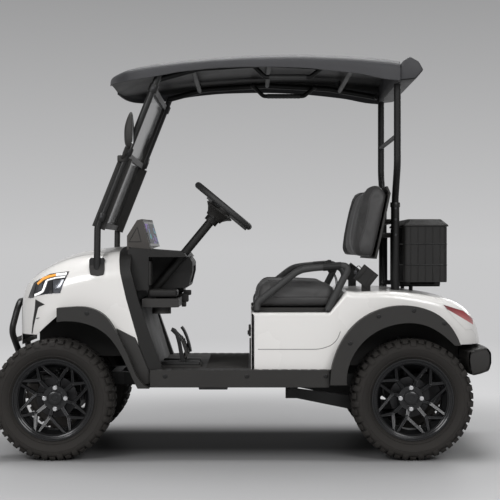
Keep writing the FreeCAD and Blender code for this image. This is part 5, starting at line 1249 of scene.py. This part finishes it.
class CART_OT_nose(Step, Operator):
    """Fill the grille, and make the rear bumper with its ribs and reflectors"""
    bl_idname = "cart.nose"
    bl_label = "Nose and bumpers"

    def work(self, scene):
        bars, pads, glints, bm = bmesh.new(), bmesh.new(), bmesh.new(), bmesh.new()
        grille = surface("front_grille")
        for index in range(7):
            z = 0.738 + index * 0.0145
            ribbon(bars, grille, [(-1.2, -0.215, z), (-1.2, 0.215, z)], BACK, 0.0055, 0.0030, 0.012)
        placed("grille_bars", bars, "gloss_black")
        outline = [(1.066, 0.478), (1.072, 0.515), (1.104, 0.524), (1.152, 0.534), (1.172, 0.534),
                   (1.190, 0.510), (1.191, 0.462), (1.178, 0.424), (1.132, 0.408), (1.100, 0.401),
                   (1.086, 0.402), (1.075, 0.425)]
        half, middle_x, middle_z = 0.544, 1.125, 0.466
        stations = [-half, -0.543, -0.540, -0.535, -0.527, -0.515, -0.49, -0.45, -0.40, -0.33, -0.2, 0.0]
        rings = []
        for y in stations + [-y for y in reversed(stations[:-1])]:
            size = (1 - (abs(y) / half) ** 12) ** 0.5 * 0.20 + 0.80
            flat = 0.6 + 0.4 * size
            rings.append([(middle_x + (x - middle_x) * size, y, middle_z + (z - middle_z) * flat)
                          for x, z in outline])
        loft(bm, rings)
        bmesh.ops.recalc_face_normals(bm, faces=bm.faces)
        sharp = [edge for edge in bm.edges if len(edge.link_faces) == 2 and edge.calc_face_angle() > 0.25]
        bmesh.ops.bevel(bm, geom=sharp, offset=0.006, segments=3, profile=0.5, affect="EDGES")
        made = placed("bumper_bar", bm, angle=80, merge=True)
        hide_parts("rear_bumper")
        face = surface(made.data)
        for z in (0.440, 0.456, 0.472, 0.488):
            ribbon(pads, face, [(1.3, -0.36, z), (1.3, 0.36, z)], AHEAD, 0.006, 0.0016, 0.02)
        for side in SIDES.values():
            low, top = ([(1.3, side * 0.420, z), (1.3, side * 0.370, z)] for z in (0.450, 0.482))
            sheet_on(glints, face, AHEAD, low, top, 8, 4, 0.0014)
        placed("bumper_ribs", pads)
        placed("reflectors", glints, "reflector_red")


# Operators: cabin

def controls():
    """The screen, the keys and sockets of the dash, its bins and the drive selector."""
    pod, dash = surface("display"), surface("dashboard")
    bezel, glass, line, keys, rings, bins, lever, vent = (bmesh.new() for _ in range(8))
    for bm, (near, far, low, high), lift in ((bezel, (-0.400, -0.170, 1.020, 1.138), 0.0012),
                                             (glass, (-0.390, -0.180, 1.032, 1.128), 0.0022)):
        lines = ([(0, near, z), (0, far, z)] for z in (low, high))
        sheet_on(bm, pod, AHEAD, *lines, 20, 12, lift)
    for side in SIDES.values():
        corner = [(-0.556, 1.040), (-0.515, 1.112), (-0.496, 1.040), (-0.556, 1.040)]
        ribbon(line, pod, [(x, -0.285 + side * 0.5, z) for x, z in corner], (0, -side, 0), 0.004, 0.0012,
               0.006)
    placed("screen_bezel", bezel, "gloss_black")
    placed("screen_glass", glass, "lit_screen")
    placed("pod_outline", line)
    for index in range(4):
        found = cast(dash, (0, -0.185 + index * 0.034, 0.958), AHEAD, 0.0)
        if found:
            box(keys, found[0] + Vector((-0.004, -0.013, -0.010)), found[0] + Vector((0.0035, 0.013, 0.010)),
                0.0015)
    radius = 0.013
    for y in (0.255, 0.295):
        found = cast(dash, (0, y, 0.905), AHEAD, 0.0)
        if found:
            lathe(rings, [(0.0, 0.0), (radius * 1.25, 0.0), (radius * 1.25, 0.002), (radius, 0.005),
                          (radius * 0.8, 0.003), (0.0, 0.003)], 28, found[0] - Vector((0.001, 0, 0)), BACK)
    placed("dash_keys", keys, "grip_rubber", angle=40)
    placed("dash_sockets", rings, "gloss_black", angle=40, merge=True)
    for near, far in ((-0.476, -0.312), (0.242, 0.476)):
        box(bins, (-0.458, near, 0.772), (-0.318, far, 0.812), 0.014, None, 4)
    # painted shade: the bins' floors take the darker plastic
    placed("bin_floors", bins, "painted_shade_plastic")
    low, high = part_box("console_tray")
    box(lever, (high.x - 0.006, -0.070, low.z + 0.045), (high.x + 0.030, 0.010, high.z + 0.012), 0.004)
    box(lever, (high.x + 0.004, -0.052, high.z + 0.004), (high.x + 0.044, -0.008, high.z + 0.030), 0.005)
    box(lever, (high.x - 0.004, -0.064, low.z + 0.020), (high.x + 0.018, 0.004, low.z + 0.052), 0.003)
    placed("drive_selector", lever, angle=38)
    box(vent, (-0.4548, -0.4715, 0.830), (-0.4470, -0.4685, 0.945), 0.0006, None, 1)
    placed("bin_slats", pattern(row, to_mesh(vent), Count=22, Step=(0.0, 0.0065, 0.0)), angle=38)


def footwell():
    """Floor ribs, pedals and step pads."""
    low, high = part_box("floor_pan")
    pads = surface("pedals")
    rib, grip, pedals, step = (bmesh.new() for _ in range(4))
    box(rib, (-0.180, -0.4520, high.z - 0.0004), (high.x - 0.012, -0.4480, high.z + 0.0022), 0.0008, None, 1)
    placed("floor_ribs", pattern(row, to_mesh(rib), Count=46, Step=(0.0, 0.020, 0.0)), "floor_rubber",
           angle=38)
    for y in (-0.310, -0.190):
        for index in range(7):
            z = 0.485 + index * 0.0135
            ribbon(grip, pads, [(0, y - 0.032, z), (0, y + 0.032, z)], AHEAD, 0.005, 0.0024, 0.01)
    placed("pedal_grips", grip, "grip_rubber")
    brake = [(-0.352, 0.612), (-0.336, 0.606), (-0.325, 0.588), (-0.314, 0.549), (-0.306, 0.504),
             (-0.297, 0.458), (-0.296, 0.432)]
    gas = [(-0.312, 0.614), (-0.300, 0.598), (-0.286, 0.566), (-0.275, 0.532), (-0.266, 0.490)]
    for outline, y, width, thickness in ((brake, -0.352, 0.030, 0.018), (brake[:4], -0.352, 0.046, 0.012),
                                         (gas, -0.150, 0.066, 0.012)):
        strap(pedals, eased([(x, y, z) for x, z in outline], 0.02), width, thickness)
    strap(pedals, [(-0.276, -0.150, 0.536), (-0.292, -0.150, 0.480), (-0.294, -0.150, 0.432)], 0.026, 0.016)
    for near, far in ((-0.385, -0.320), (-0.185, -0.115)):
        box(pedals, (-0.400, near, high.z - 0.001), (-0.212, far, high.z + 0.026), 0.006)
    placed("pedal_arms", pedals, "frame_black", merge=True)
    for side in SIDES.values():
        block(step, (-0.1425, side * 0.535, 0.3425), (0.0685, 0.030, 0.006), 0.003)
        for index in range(18):
            block(step, (-0.400 + index * 0.046, side * 0.530, 0.4305), (0.015, 0.040, 0.0013), 0.001,
                  None, 1)
    placed("step_pads", step, "grip_rubber", angle=38)


def steering():
    """The wheel's boss, grips, stitches and spoke caps."""
    hub = Vector((-0.099, -0.270, 1.218))
    axis = Vector((math.cos(math.radians(50.5)), 0, math.sin(math.radians(50.5))))
    up = axis.cross(ACROSS).normalized()
    cover, grip, caps, threads = bmesh.new(), bmesh.new(), bmesh.new(), []
    lathe(cover, [(0.0, -0.034), (0.048, -0.034), (0.056, -0.026), (0.056, -0.014), (0.046, -0.0035),
                  (0.030, 0.0005), (0.0, 0.0010)], 48, hub, axis)
    lathe(cover, [(0.0300, -0.0830), (0.0420, -0.0800), (0.0460, -0.0660), (0.0600, -0.0480),
                  (0.0780, -0.0330), (0.0760, -0.0280), (0.0560, -0.0240), (0.0300, -0.0240)], 40, hub, axis)
    placed("wheel_boss", cover, body="steering_wheel", angle=45, merge=True)
    for start in (25, 205):
        line = [hub + ACROSS * a + up * b for a, b in arc((0, 0), 0.161, start, start + 130, 24)]
        sweep(grip, line, [0.0148 + 0.0014 * math.sin(math.pi * index / 24) for index in range(25)], 20)
        threads.append([point + (hub - point).normalized() * 0.0163 for point in line[2:-2]])
    placed("wheel_grips", grip, "grip_rubber", "steering_wheel", 60, merge=True)
    placed("wheel_stitches", sewn(threads, Pitch=0.006, Length=0.004, Thread=0.0007), "stitch_thread",
           "steering_wheel", 60)
    for angle in (0.0, 115.0, 245.0):
        turn = math.radians(angle)
        out = Vector((axis.z, 0, -axis.x)) * math.cos(turn) + ACROSS * math.sin(turn)
        block(caps, hub + out * 0.098 - axis * 0.0095, (0.034, 0.010, 0.0035), 0.002,
              Matrix((out, axis.cross(out), axis)).transposed())
    placed("spoke_caps", caps, "bright_metal", "steering_wheel", 38)


class CART_OT_cabin(Step, Operator):
    """Fit the screen, switches, pedal ribs, mats and the wheel's trim"""
    bl_idname = "cart.cabin"
    bl_label = "Cabin"

    def work(self, scene):
        controls()
        footwell()
        steering()


# Operators: running gear, arches, basket, belts

class CART_OT_running_gear(Step, Operator):
    """Fit the coil springs, dampers, boots and brake parts"""
    bl_idname = "cart.running_gear"
    bl_label = "Running gear"

    def work(self, scene):
        trim = scene.cart_trim
        coils, drums, dampers, boots, fin = [], {}, bmesh.new(), bmesh.new(), bmesh.new()
        for name, side in SIDES.items():
            for foot, head, radius, eye in (
                    ((FRONT_AXLE, side * 0.290, 0.2503), (FRONT_AXLE, side * 0.225, 0.520), 0.0265, BACK),
                    ((REAR_AXLE, side * 0.316, 0.3363), (0.760, side * 0.316, 0.560), 0.0215, ACROSS)):
                foot, head = Vector(foot), Vector(head)
                run = head - foot
                way, long = run.normalized(), run.length
                lathe(dampers, [(0.0, 0.0), (0.0155, 0.0), (0.0155, long * 0.52), (0.0140, long * 0.535),
                                (0.0, long * 0.535)], 28, foot, way)
                lathe(dampers, capped(0.006, long * 0.50, long), 16, foot, way)
                for share, sign in ((0.29, 1), (0.91, -1)):
                    cup = [(0.008, 0.0), (radius, 0.0), (radius, 0.003 * sign), (radius * 0.7, 0.006 * sign),
                           (0.008, 0.006 * sign)]
                    lathe(dampers, cup, 28, foot + run * share, way)
                bush = [(0.0065, -0.0148), (0.0138, -0.0148), (0.0138, 0.0148), (0.0065, 0.0148)]
                for end in (foot, head):
                    lathe(dampers, bush, 28, end, eye)
                start = points_mesh([(foot + run * 0.305, way)])
                coils.append(pattern(springs, start, Turns=trim.spring_turns, Wire=trim.spring_wire,
                                     Radius=radius - trim.spring_wire, Height=long * 0.59))
            for z in (0.225, 0.365):
                lathe(boots, [(0.0, 0.0), (0.0165, 0.0), (0.0185, 0.003), (0.0165, 0.006), (0.0180, 0.009),
                              (0.0150, 0.012), (0.0, 0.012)], 24, (FRONT_AXLE, side * 0.360, z - 0.0245),
                      (0, 0, 1))
            ribs = drums[name] = bmesh.new()
            for index in range(24):
                angle = math.tau * index / 24
                x, z = FRONT_AXLE + 0.080 * math.cos(angle), AXLE_Z + 0.080 * math.sin(angle)
                block(ribs, (x, side * 0.4140, z), (0.013, 0.0035, 0.0020), 0.0006,
                      Matrix.Rotation(-angle, 3, "Y"), 1)
        made = placed("dampers", dampers, "steel", angle=40, merge=True)
        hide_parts("shock_absorbers")
        placed("coil_springs", merged(coils), "frame_black", angle=60)
        placed("joint_boots", boots, "grip_rubber", angle=30, merge=True)
        box(fin, (0.8700, -0.052, 0.3600), (1.0060, -0.0495, 0.3735), 0.0008, None, 1)
        fins = pattern(row, to_mesh(fin), Count=16, Step=(0.0, 0.0135, 0.0))
        placed("motor_fins", fins, "steel", angle=38)
        for name, ribs in drums.items():
            placed(f"drum_ribs_{name}", ribs, "steel", f"knuckle_{name}", 38)


class CART_OT_arches(Step, Operator):
    """Line the wheel arches with dark inner walls and ribbed ceilings"""
    bl_idname = "cart.arches"
    bl_label = "Arch liners"

    def work(self, scene):
        walls, ribs = bmesh.new(), bmesh.new()
        radius = 0.392
        for side in SIDES.values():
            for x, first, last, near, far, (left, right, low, high) in (
                    (FRONT_AXLE, 42, 103, 0.190, 0.500, (-1.020, -0.610, 0.470, 0.680)),
                    (REAR_AXLE, 56, 165, 0.285, 0.500, (0.520, 1.060, 0.430, 0.670))):
                plate(walls, [(left, low), (right, low), (right, high - 0.05), (right - 0.12, high),
                              (left + 0.12, high), (left, high - 0.05)], side * near, side * (near + 0.004),
                      0.0015)
                skins = [(walls, 0.0, (far - near) / 2, radius, 0.003)]
                skins += [(ribs, spot, 0.006, radius - 0.004, 0.004) for spot in (-0.06, 0.0, 0.06)]
                for bm, spot, half, inner, skin in skins:
                    middle = (near + far) / 2 + spot
                    lines = [(arc((x, AXLE_Z), r, first, last, 32), side * (middle + y))
                             for r, y in ((inner, -half), (inner + skin, -half), (inner + skin, half),
                                          (inner, half))]
                    loft(bm, zip(*[[(a, y, z) for a, z in line] for line, y in lines]))
        placed("arch_liners", walls, angle=38, merge=True)
        placed("arch_ribs", ribs, angle=38, merge=True)


class CART_OT_basket(Step, Operator):
    """Rib and band the basket, and clamp it down"""
    bl_idname = "cart.basket"
    bl_label = "Basket"

    def work(self, scene):
        pitch = scene.cart_trim.rib_pitch
        low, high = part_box("rear_basket")
        left, right, half = low.x + 0.007, high.x - 0.007, high.y - 0.007
        base, neck = low.z + 0.006, high.z - 0.040
        count, across = int((right - left - 0.05) / pitch), int((half * 2 - 0.05) / pitch)
        start, start_y = (left + right) / 2 - count * pitch / 2, -across * pitch / 2
        parts, bands, feet = [], bmesh.new(), bmesh.new()
        for side in SIDES.values():
            rib = bmesh.new()
            box(rib, (start - 0.0022, side * half - 0.0018, base),
                (start + 0.0022, side * half + 0.0024, neck), 0.001, None, 1)
            parts.append(pattern(row, to_mesh(rib), Count=count + 1, Step=(pitch, 0, 0)))
        for x in (left, right):
            rib = bmesh.new()
            box(rib, (x - 0.0022, start_y - 0.0022, base), (x + 0.0022, start_y + 0.0022, neck), 0.001,
                None, 1)
            parts.append(pattern(row, to_mesh(rib), Count=across + 1, Step=(0, pitch, 0)))
        # painted shade: the basket's ribs take the darker plastic
        placed("basket_ribs", merged(parts), "painted_shade_plastic", angle=38)
        corner = 0.022
        line = []
        for x, y, first in ((right - corner, half - corner, 0), (left + corner, half - corner, 90),
                            (left + corner, -half + corner, 180), (right - corner, -half + corner, 270)):
            line += arc((x, y), corner, first, first + 90, 6)
        for z in (0.927, 1.030):
            sweep(bands, [(x, y, z) for x, y in line + line[:1]], 0.0032, 8)
        placed("basket_bands", bands, "frame_black", angle=60)
        for side in SIDES.values():
            for x in (0.815, 0.965):
                block(feet, (x, side * 0.200, low.z - 0.00825), (0.016, 0.018, 0.00775), 0.002)
        placed("basket_clamps", feet, "frame_black", angle=38)


class CART_OT_belts(Step, Operator):
    """Hang the belts from their reels, stand the buckles by the cushion and sleeve the armrests"""
    bl_idname = "cart.belts"
    bl_label = "Belts"

    def work(self, scene):
        webs, metal, shells, sleeves = (bmesh.new() for _ in range(4))
        low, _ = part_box("armrests")
        rail = [(0.066, low.z + 0.012), (0.066, 0.748), (0.266, 0.905), (0.342, 0.916), (0.511, 0.927),
                (0.4035, low.z + 0.012)]
        tilt, tip = (Matrix.Rotation(math.radians(angle), 3, "Y") for angle in (38, -24))
        for side in SIDES.values():
            y, stalk_y = side * 0.478, side * 0.060
            strap(webs, eased([(0.572, y, 0.908), (0.556, y, 0.926), (0.545, y, 0.918), (0.541, y, 0.902)],
                              0.008), 0.040, 0.0022)
            block(metal, (0.5395, y, 0.893), (0.005, 0.022, 0.009), 0.002)
            for shift in (-0.030, 0.030):
                block(shells, (0.590 + shift * 0.8, y, 0.872 - shift * 0.6), (0.010, 0.0245, 0.036), 0.002,
                      tilt)
            stalk = [(0.478, stalk_y, 0.760), (0.478, stalk_y, 0.850), (0.452, stalk_y, 0.900)]
            strap(webs, eased(stalk, 0.03), 0.026, 0.004)
            block(shells, (0.442, stalk_y, 0.916), (0.016, 0.018, 0.032), 0.005, tip)
            sweep(sleeves, eased([(x, side * POST_Y, z) for x, z in rail], 0.045, 8), 0.0172, 20)
        placed("belt_webs", webs, "belt_web")
        placed("belt_tongues", metal, "steel", angle=38)
        placed("armrest_sleeves", sleeves, "grip_rubber", angle=60, merge=True)
        # painted shade: the belt shells take the darker plastic
        placed("belt_shells", shells, "painted_shade_plastic", angle=38)


# Operators: roof, mirrors, posts

# Shares of length and half width, then of rise: rim, top, corner and crown
ROOF = ((0.000, 0.34, 0.10, 0.20, 0.05, 0.03), (0.010, 0.56, 0.06, 0.245, 0.08, 0.05),
        (0.022, 0.71, 0.03, 0.29, 0.12, 0.07), (0.047, 0.85, 0.01, 0.365, 0.16, 0.09),
        (0.084, 0.945, 0.02, 0.48, 0.20, 0.11), (0.151, 0.99, 0.09, 0.62, 0.24, 0.13),
        (0.279, 1.00, 0.29, 0.79, 0.24, 0.15), (0.407, 1.00, 0.395, 0.90, 0.24, 0.16),
        (0.534, 1.00, 0.42, 0.97, 0.25, 0.17), (0.665, 1.00, 0.39, 1.00, 0.26, 0.18),
        (0.764, 1.00, 0.31, 0.98, 0.27, 0.18), (0.866, 1.00, 0.20, 0.92, 0.28, 0.17),
        (0.950, 0.995, 0.05, 0.85, 0.30, 0.16), (1.000, 0.975, 0.00, 0.78, 0.30, 0.15))


def canopy():
    """The canopy with its nose, turned-down rim, closed rear end and fin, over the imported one."""
    front, long, half, datum, rise = -0.666, 1.413, 0.580, 1.804, 0.154
    bm, fin = bmesh.new(), bmesh.new()
    rings = []
    for x, wide, low, top, corner, crown in flowing(ROOF, 90):
        wide, corner, crown = wide * half, corner * rise, crown * rise
        low, top = datum + low * rise, datum + top * rise
        shoulder = max(top - crown - corner, low + 0.002)
        tall = top - crown - shoulder
        flat = wide - corner
        line = [(wide, low + (shoulder - low) * share) for share in (0.0, 0.35, 0.7)]
        line += [(flat + corner * math.cos(turn), shoulder + tall * math.sin(turn))
                 for turn in np.linspace(0, math.pi / 2, 9)]
        line += [(flat * share, top - crown * share ** 2) for share in np.linspace(0.92, 0.0, 13)]
        line += [(-y, z) for y, z in reversed(line[:-1])]
        rings.append([bm.verts.new((front + x * long, y, z)) for y, z in line])
    for here, after in zip(rings, rings[1:]):
        for index in range(len(here) - 1):
            bm.faces.new((here[index], here[index + 1], after[index + 1], after[index]))
    bm.faces.new(rings[-1])
    solid = settled(to_mesh(bm, False), "SOLIDIFY", {"thickness": 0.006, "offset": -1.0,
                                                     "use_even_offset": False})
    shares = ((-0.03, 0.02), (-0.03, 0.50), (0.14, 0.84), (0.42, 1.0), (0.80, 0.80), (1.0, 0.46),
              (0.68, 0.10))
    plate(fin, [(front + long + a * 0.112, datum + b * 0.118) for a, b in shares], -0.552, 0.552, 0.007)
    made = placed("canopy_shell", merged([solid, to_mesh(fin, False)]), "roof_grey", angle=42)
    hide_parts("roof")
    return made.data


def mirrors():
    """Teardrop mirrors on their stalks."""
    # Front point, rear point and half width of each section, top down
    sections = (((-0.537, 1.653), (-0.525, 1.657), 0.020), ((-0.551, 1.618), (-0.5195, 1.618), 0.036),
                ((-0.562, 1.580), (-0.5190, 1.575), 0.044), ((-0.5625, 1.540), (-0.5195, 1.535), 0.046),
                ((-0.561, 1.500), (-0.522, 1.500), 0.040), ((-0.548, 1.479), (-0.533, 1.478), 0.022))
    shells, panes, stalks = (bmesh.new() for _ in range(3))
    for side in SIDES.values():
        y = side * 0.589
        rings = []
        for (front_x, front_z), (rear_x, rear_z), half in sections:
            ring_points = []
            for out, along in arc((0, 0), 1.0, 0, 345, 23):
                out = math.copysign(abs(out) ** 0.55, out)
                bulge = 0.5 + 0.5 * math.copysign(abs(along) ** (0.8 if along > 0 else 0.35), along)
                ring_points.append((rear_x + (front_x - rear_x) * bulge, y + out * half,
                                    rear_z + (front_z - rear_z) * bulge))
            rings.append(ring_points)
        loft(shells, rings)
        sweep(stalks, eased([(-0.585, side * POST_Y, 1.436), (-0.568, side * 0.560, 1.446),
                             (-0.548, side * 0.585, 1.490)], 0.02), 0.0085, 14)
        block(stalks, (-0.581, side * POST_Y, 1.436), (0.019, 0.022, 0.016), 0.006)
    mesh = settled(to_mesh(shells), "SUBSURF", {"levels": 2, "render_levels": 2})
    made = placed("mirror_shells", mesh)
    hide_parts("mirrors")
    face = surface(mesh)
    for side in SIDES.values():
        y = side * 0.589
        sheet_on(panes, face, AHEAD, [(0, y - 0.030, 1.504), (0, y + 0.030, 1.504)],
                 [(0, y - 0.028, 1.636), (0, y + 0.028, 1.636)], 12, 16, 0.0012)
    placed("mirror_stalks", stalks)
    placed("mirror_panes", panes, "mirror_glass")


def collar(bm, inner, outer, half, centre, axis):
    profile = [(inner, -half), (outer - 0.001, -half), (outer, -half + 0.003)]
    lathe(bm, profile + [(radius, -height) for radius, height in reversed(profile)], 32, centre, axis)


class CART_OT_canopy(Step, Operator):
    """Trim the roof, the handles, the posts and the screen's clamps"""
    bl_idname = "cart.canopy"
    bl_label = "Canopy"

    def work(self, scene):
        roof = surface(canopy())
        ribs, grips, collars, places = bmesh.new(), bmesh.new(), bmesh.new(), []
        for y in (-0.42, -0.21, 0.21, 0.42):
            ribbon(ribs, roof, [(-0.40, y, 2.2), (0.62, y, 2.2)], DOWN, 0.020, 0.0014, 0.03)
        placed("roof_ribs", ribs, "roof_grey")
        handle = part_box("grab_handles")[0].z + 0.011
        for side in SIDES.values():
            sweep(grips, [(x, side * 0.440, handle) for x in np.linspace(0.125, 0.305, 19)],
                  [0.0122 + 0.0012 * (index % 2) for index in range(19)], 16)
            out = Vector((0, side, 0))
            for x, z in ((-0.676, 1.158), (-0.550, 1.470), (-0.430, 1.772)):
                place = Vector((x, side * POST_Y, z))
                collar(collars, 0.0163, 0.0225, 0.020, place, Vector((0.259, 0, 0.652)).normalized())
                places.append((place + out * 0.0222, out))
            places += [(Vector((0.745, side * 0.3525, z)), out) for z in (1.205, 1.150, 1.074)]
            collar(collars, 0.0175, 0.0245, 0.012, (0.745, side * 0.332, 1.222), (0, 0, 1))
        placed("handle_grips", grips, "grip_rubber", angle=60, merge=True)
        mirrors()
        placed("post_collars", collars, "frame_black", angle=40, merge=True)
        heads = pattern(screws, points_mesh(places), Radius=0.0055, Height=0.0035, Sides=6)
        placed("post_screws", heads, "steel", angle=25)


class CART_PT_dressing(Panel):
    """The steps of the dressing and their values"""
    bl_idname = "CART_PT_dressing"
    bl_label = "Golf Cart"
    bl_space_type = "VIEW_3D"
    bl_region_type = "UI"
    bl_category = "Cart"

    def draw(self, context):
        for key in GROUPS:
            column = self.layout.column(heading=key.split("_")[1].title())
            group = getattr(context.scene, key)
            for name in group.bl_rna.properties.keys():
                if name not in ("rna_type", "name"):
                    column.prop(group, name)
        for step in STEPS:
            self.layout.operator(step.bl_idname)


GROUPS = {"cart_colours": CartColours, "cart_wheels": CartWheels, "cart_seat": CartSeat,
          "cart_trim": CartTrim, "cart_stage": CartStage}
STEPS = (CART_OT_finishes, CART_OT_stage, CART_OT_tyres, CART_OT_rims, CART_OT_seat, CART_OT_lamps,
         CART_OT_panels, CART_OT_nose, CART_OT_cabin, CART_OT_running_gear, CART_OT_arches, CART_OT_basket,
         CART_OT_belts, CART_OT_canopy)


def register():
    for kind in (*GROUPS.values(), *STEPS, CART_PT_dressing):
        bpy.utils.register_class(kind)
    for key, group in GROUPS.items():
        setattr(bpy.types.Scene, key, PointerProperty(type=group))


def unregister():
    for key in GROUPS:
        delattr(bpy.types.Scene, key)
    for kind in (CART_PT_dressing, *reversed(STEPS), *GROUPS.values()):
        bpy.utils.unregister_class(kind)


def main():
    """Registers the steps and runs them in order."""
    register()
    for step in STEPS:
        group, name = step.bl_idname.split(".")
        getattr(getattr(bpy.ops, group), name)()


if __name__ == "__main__":
    main()
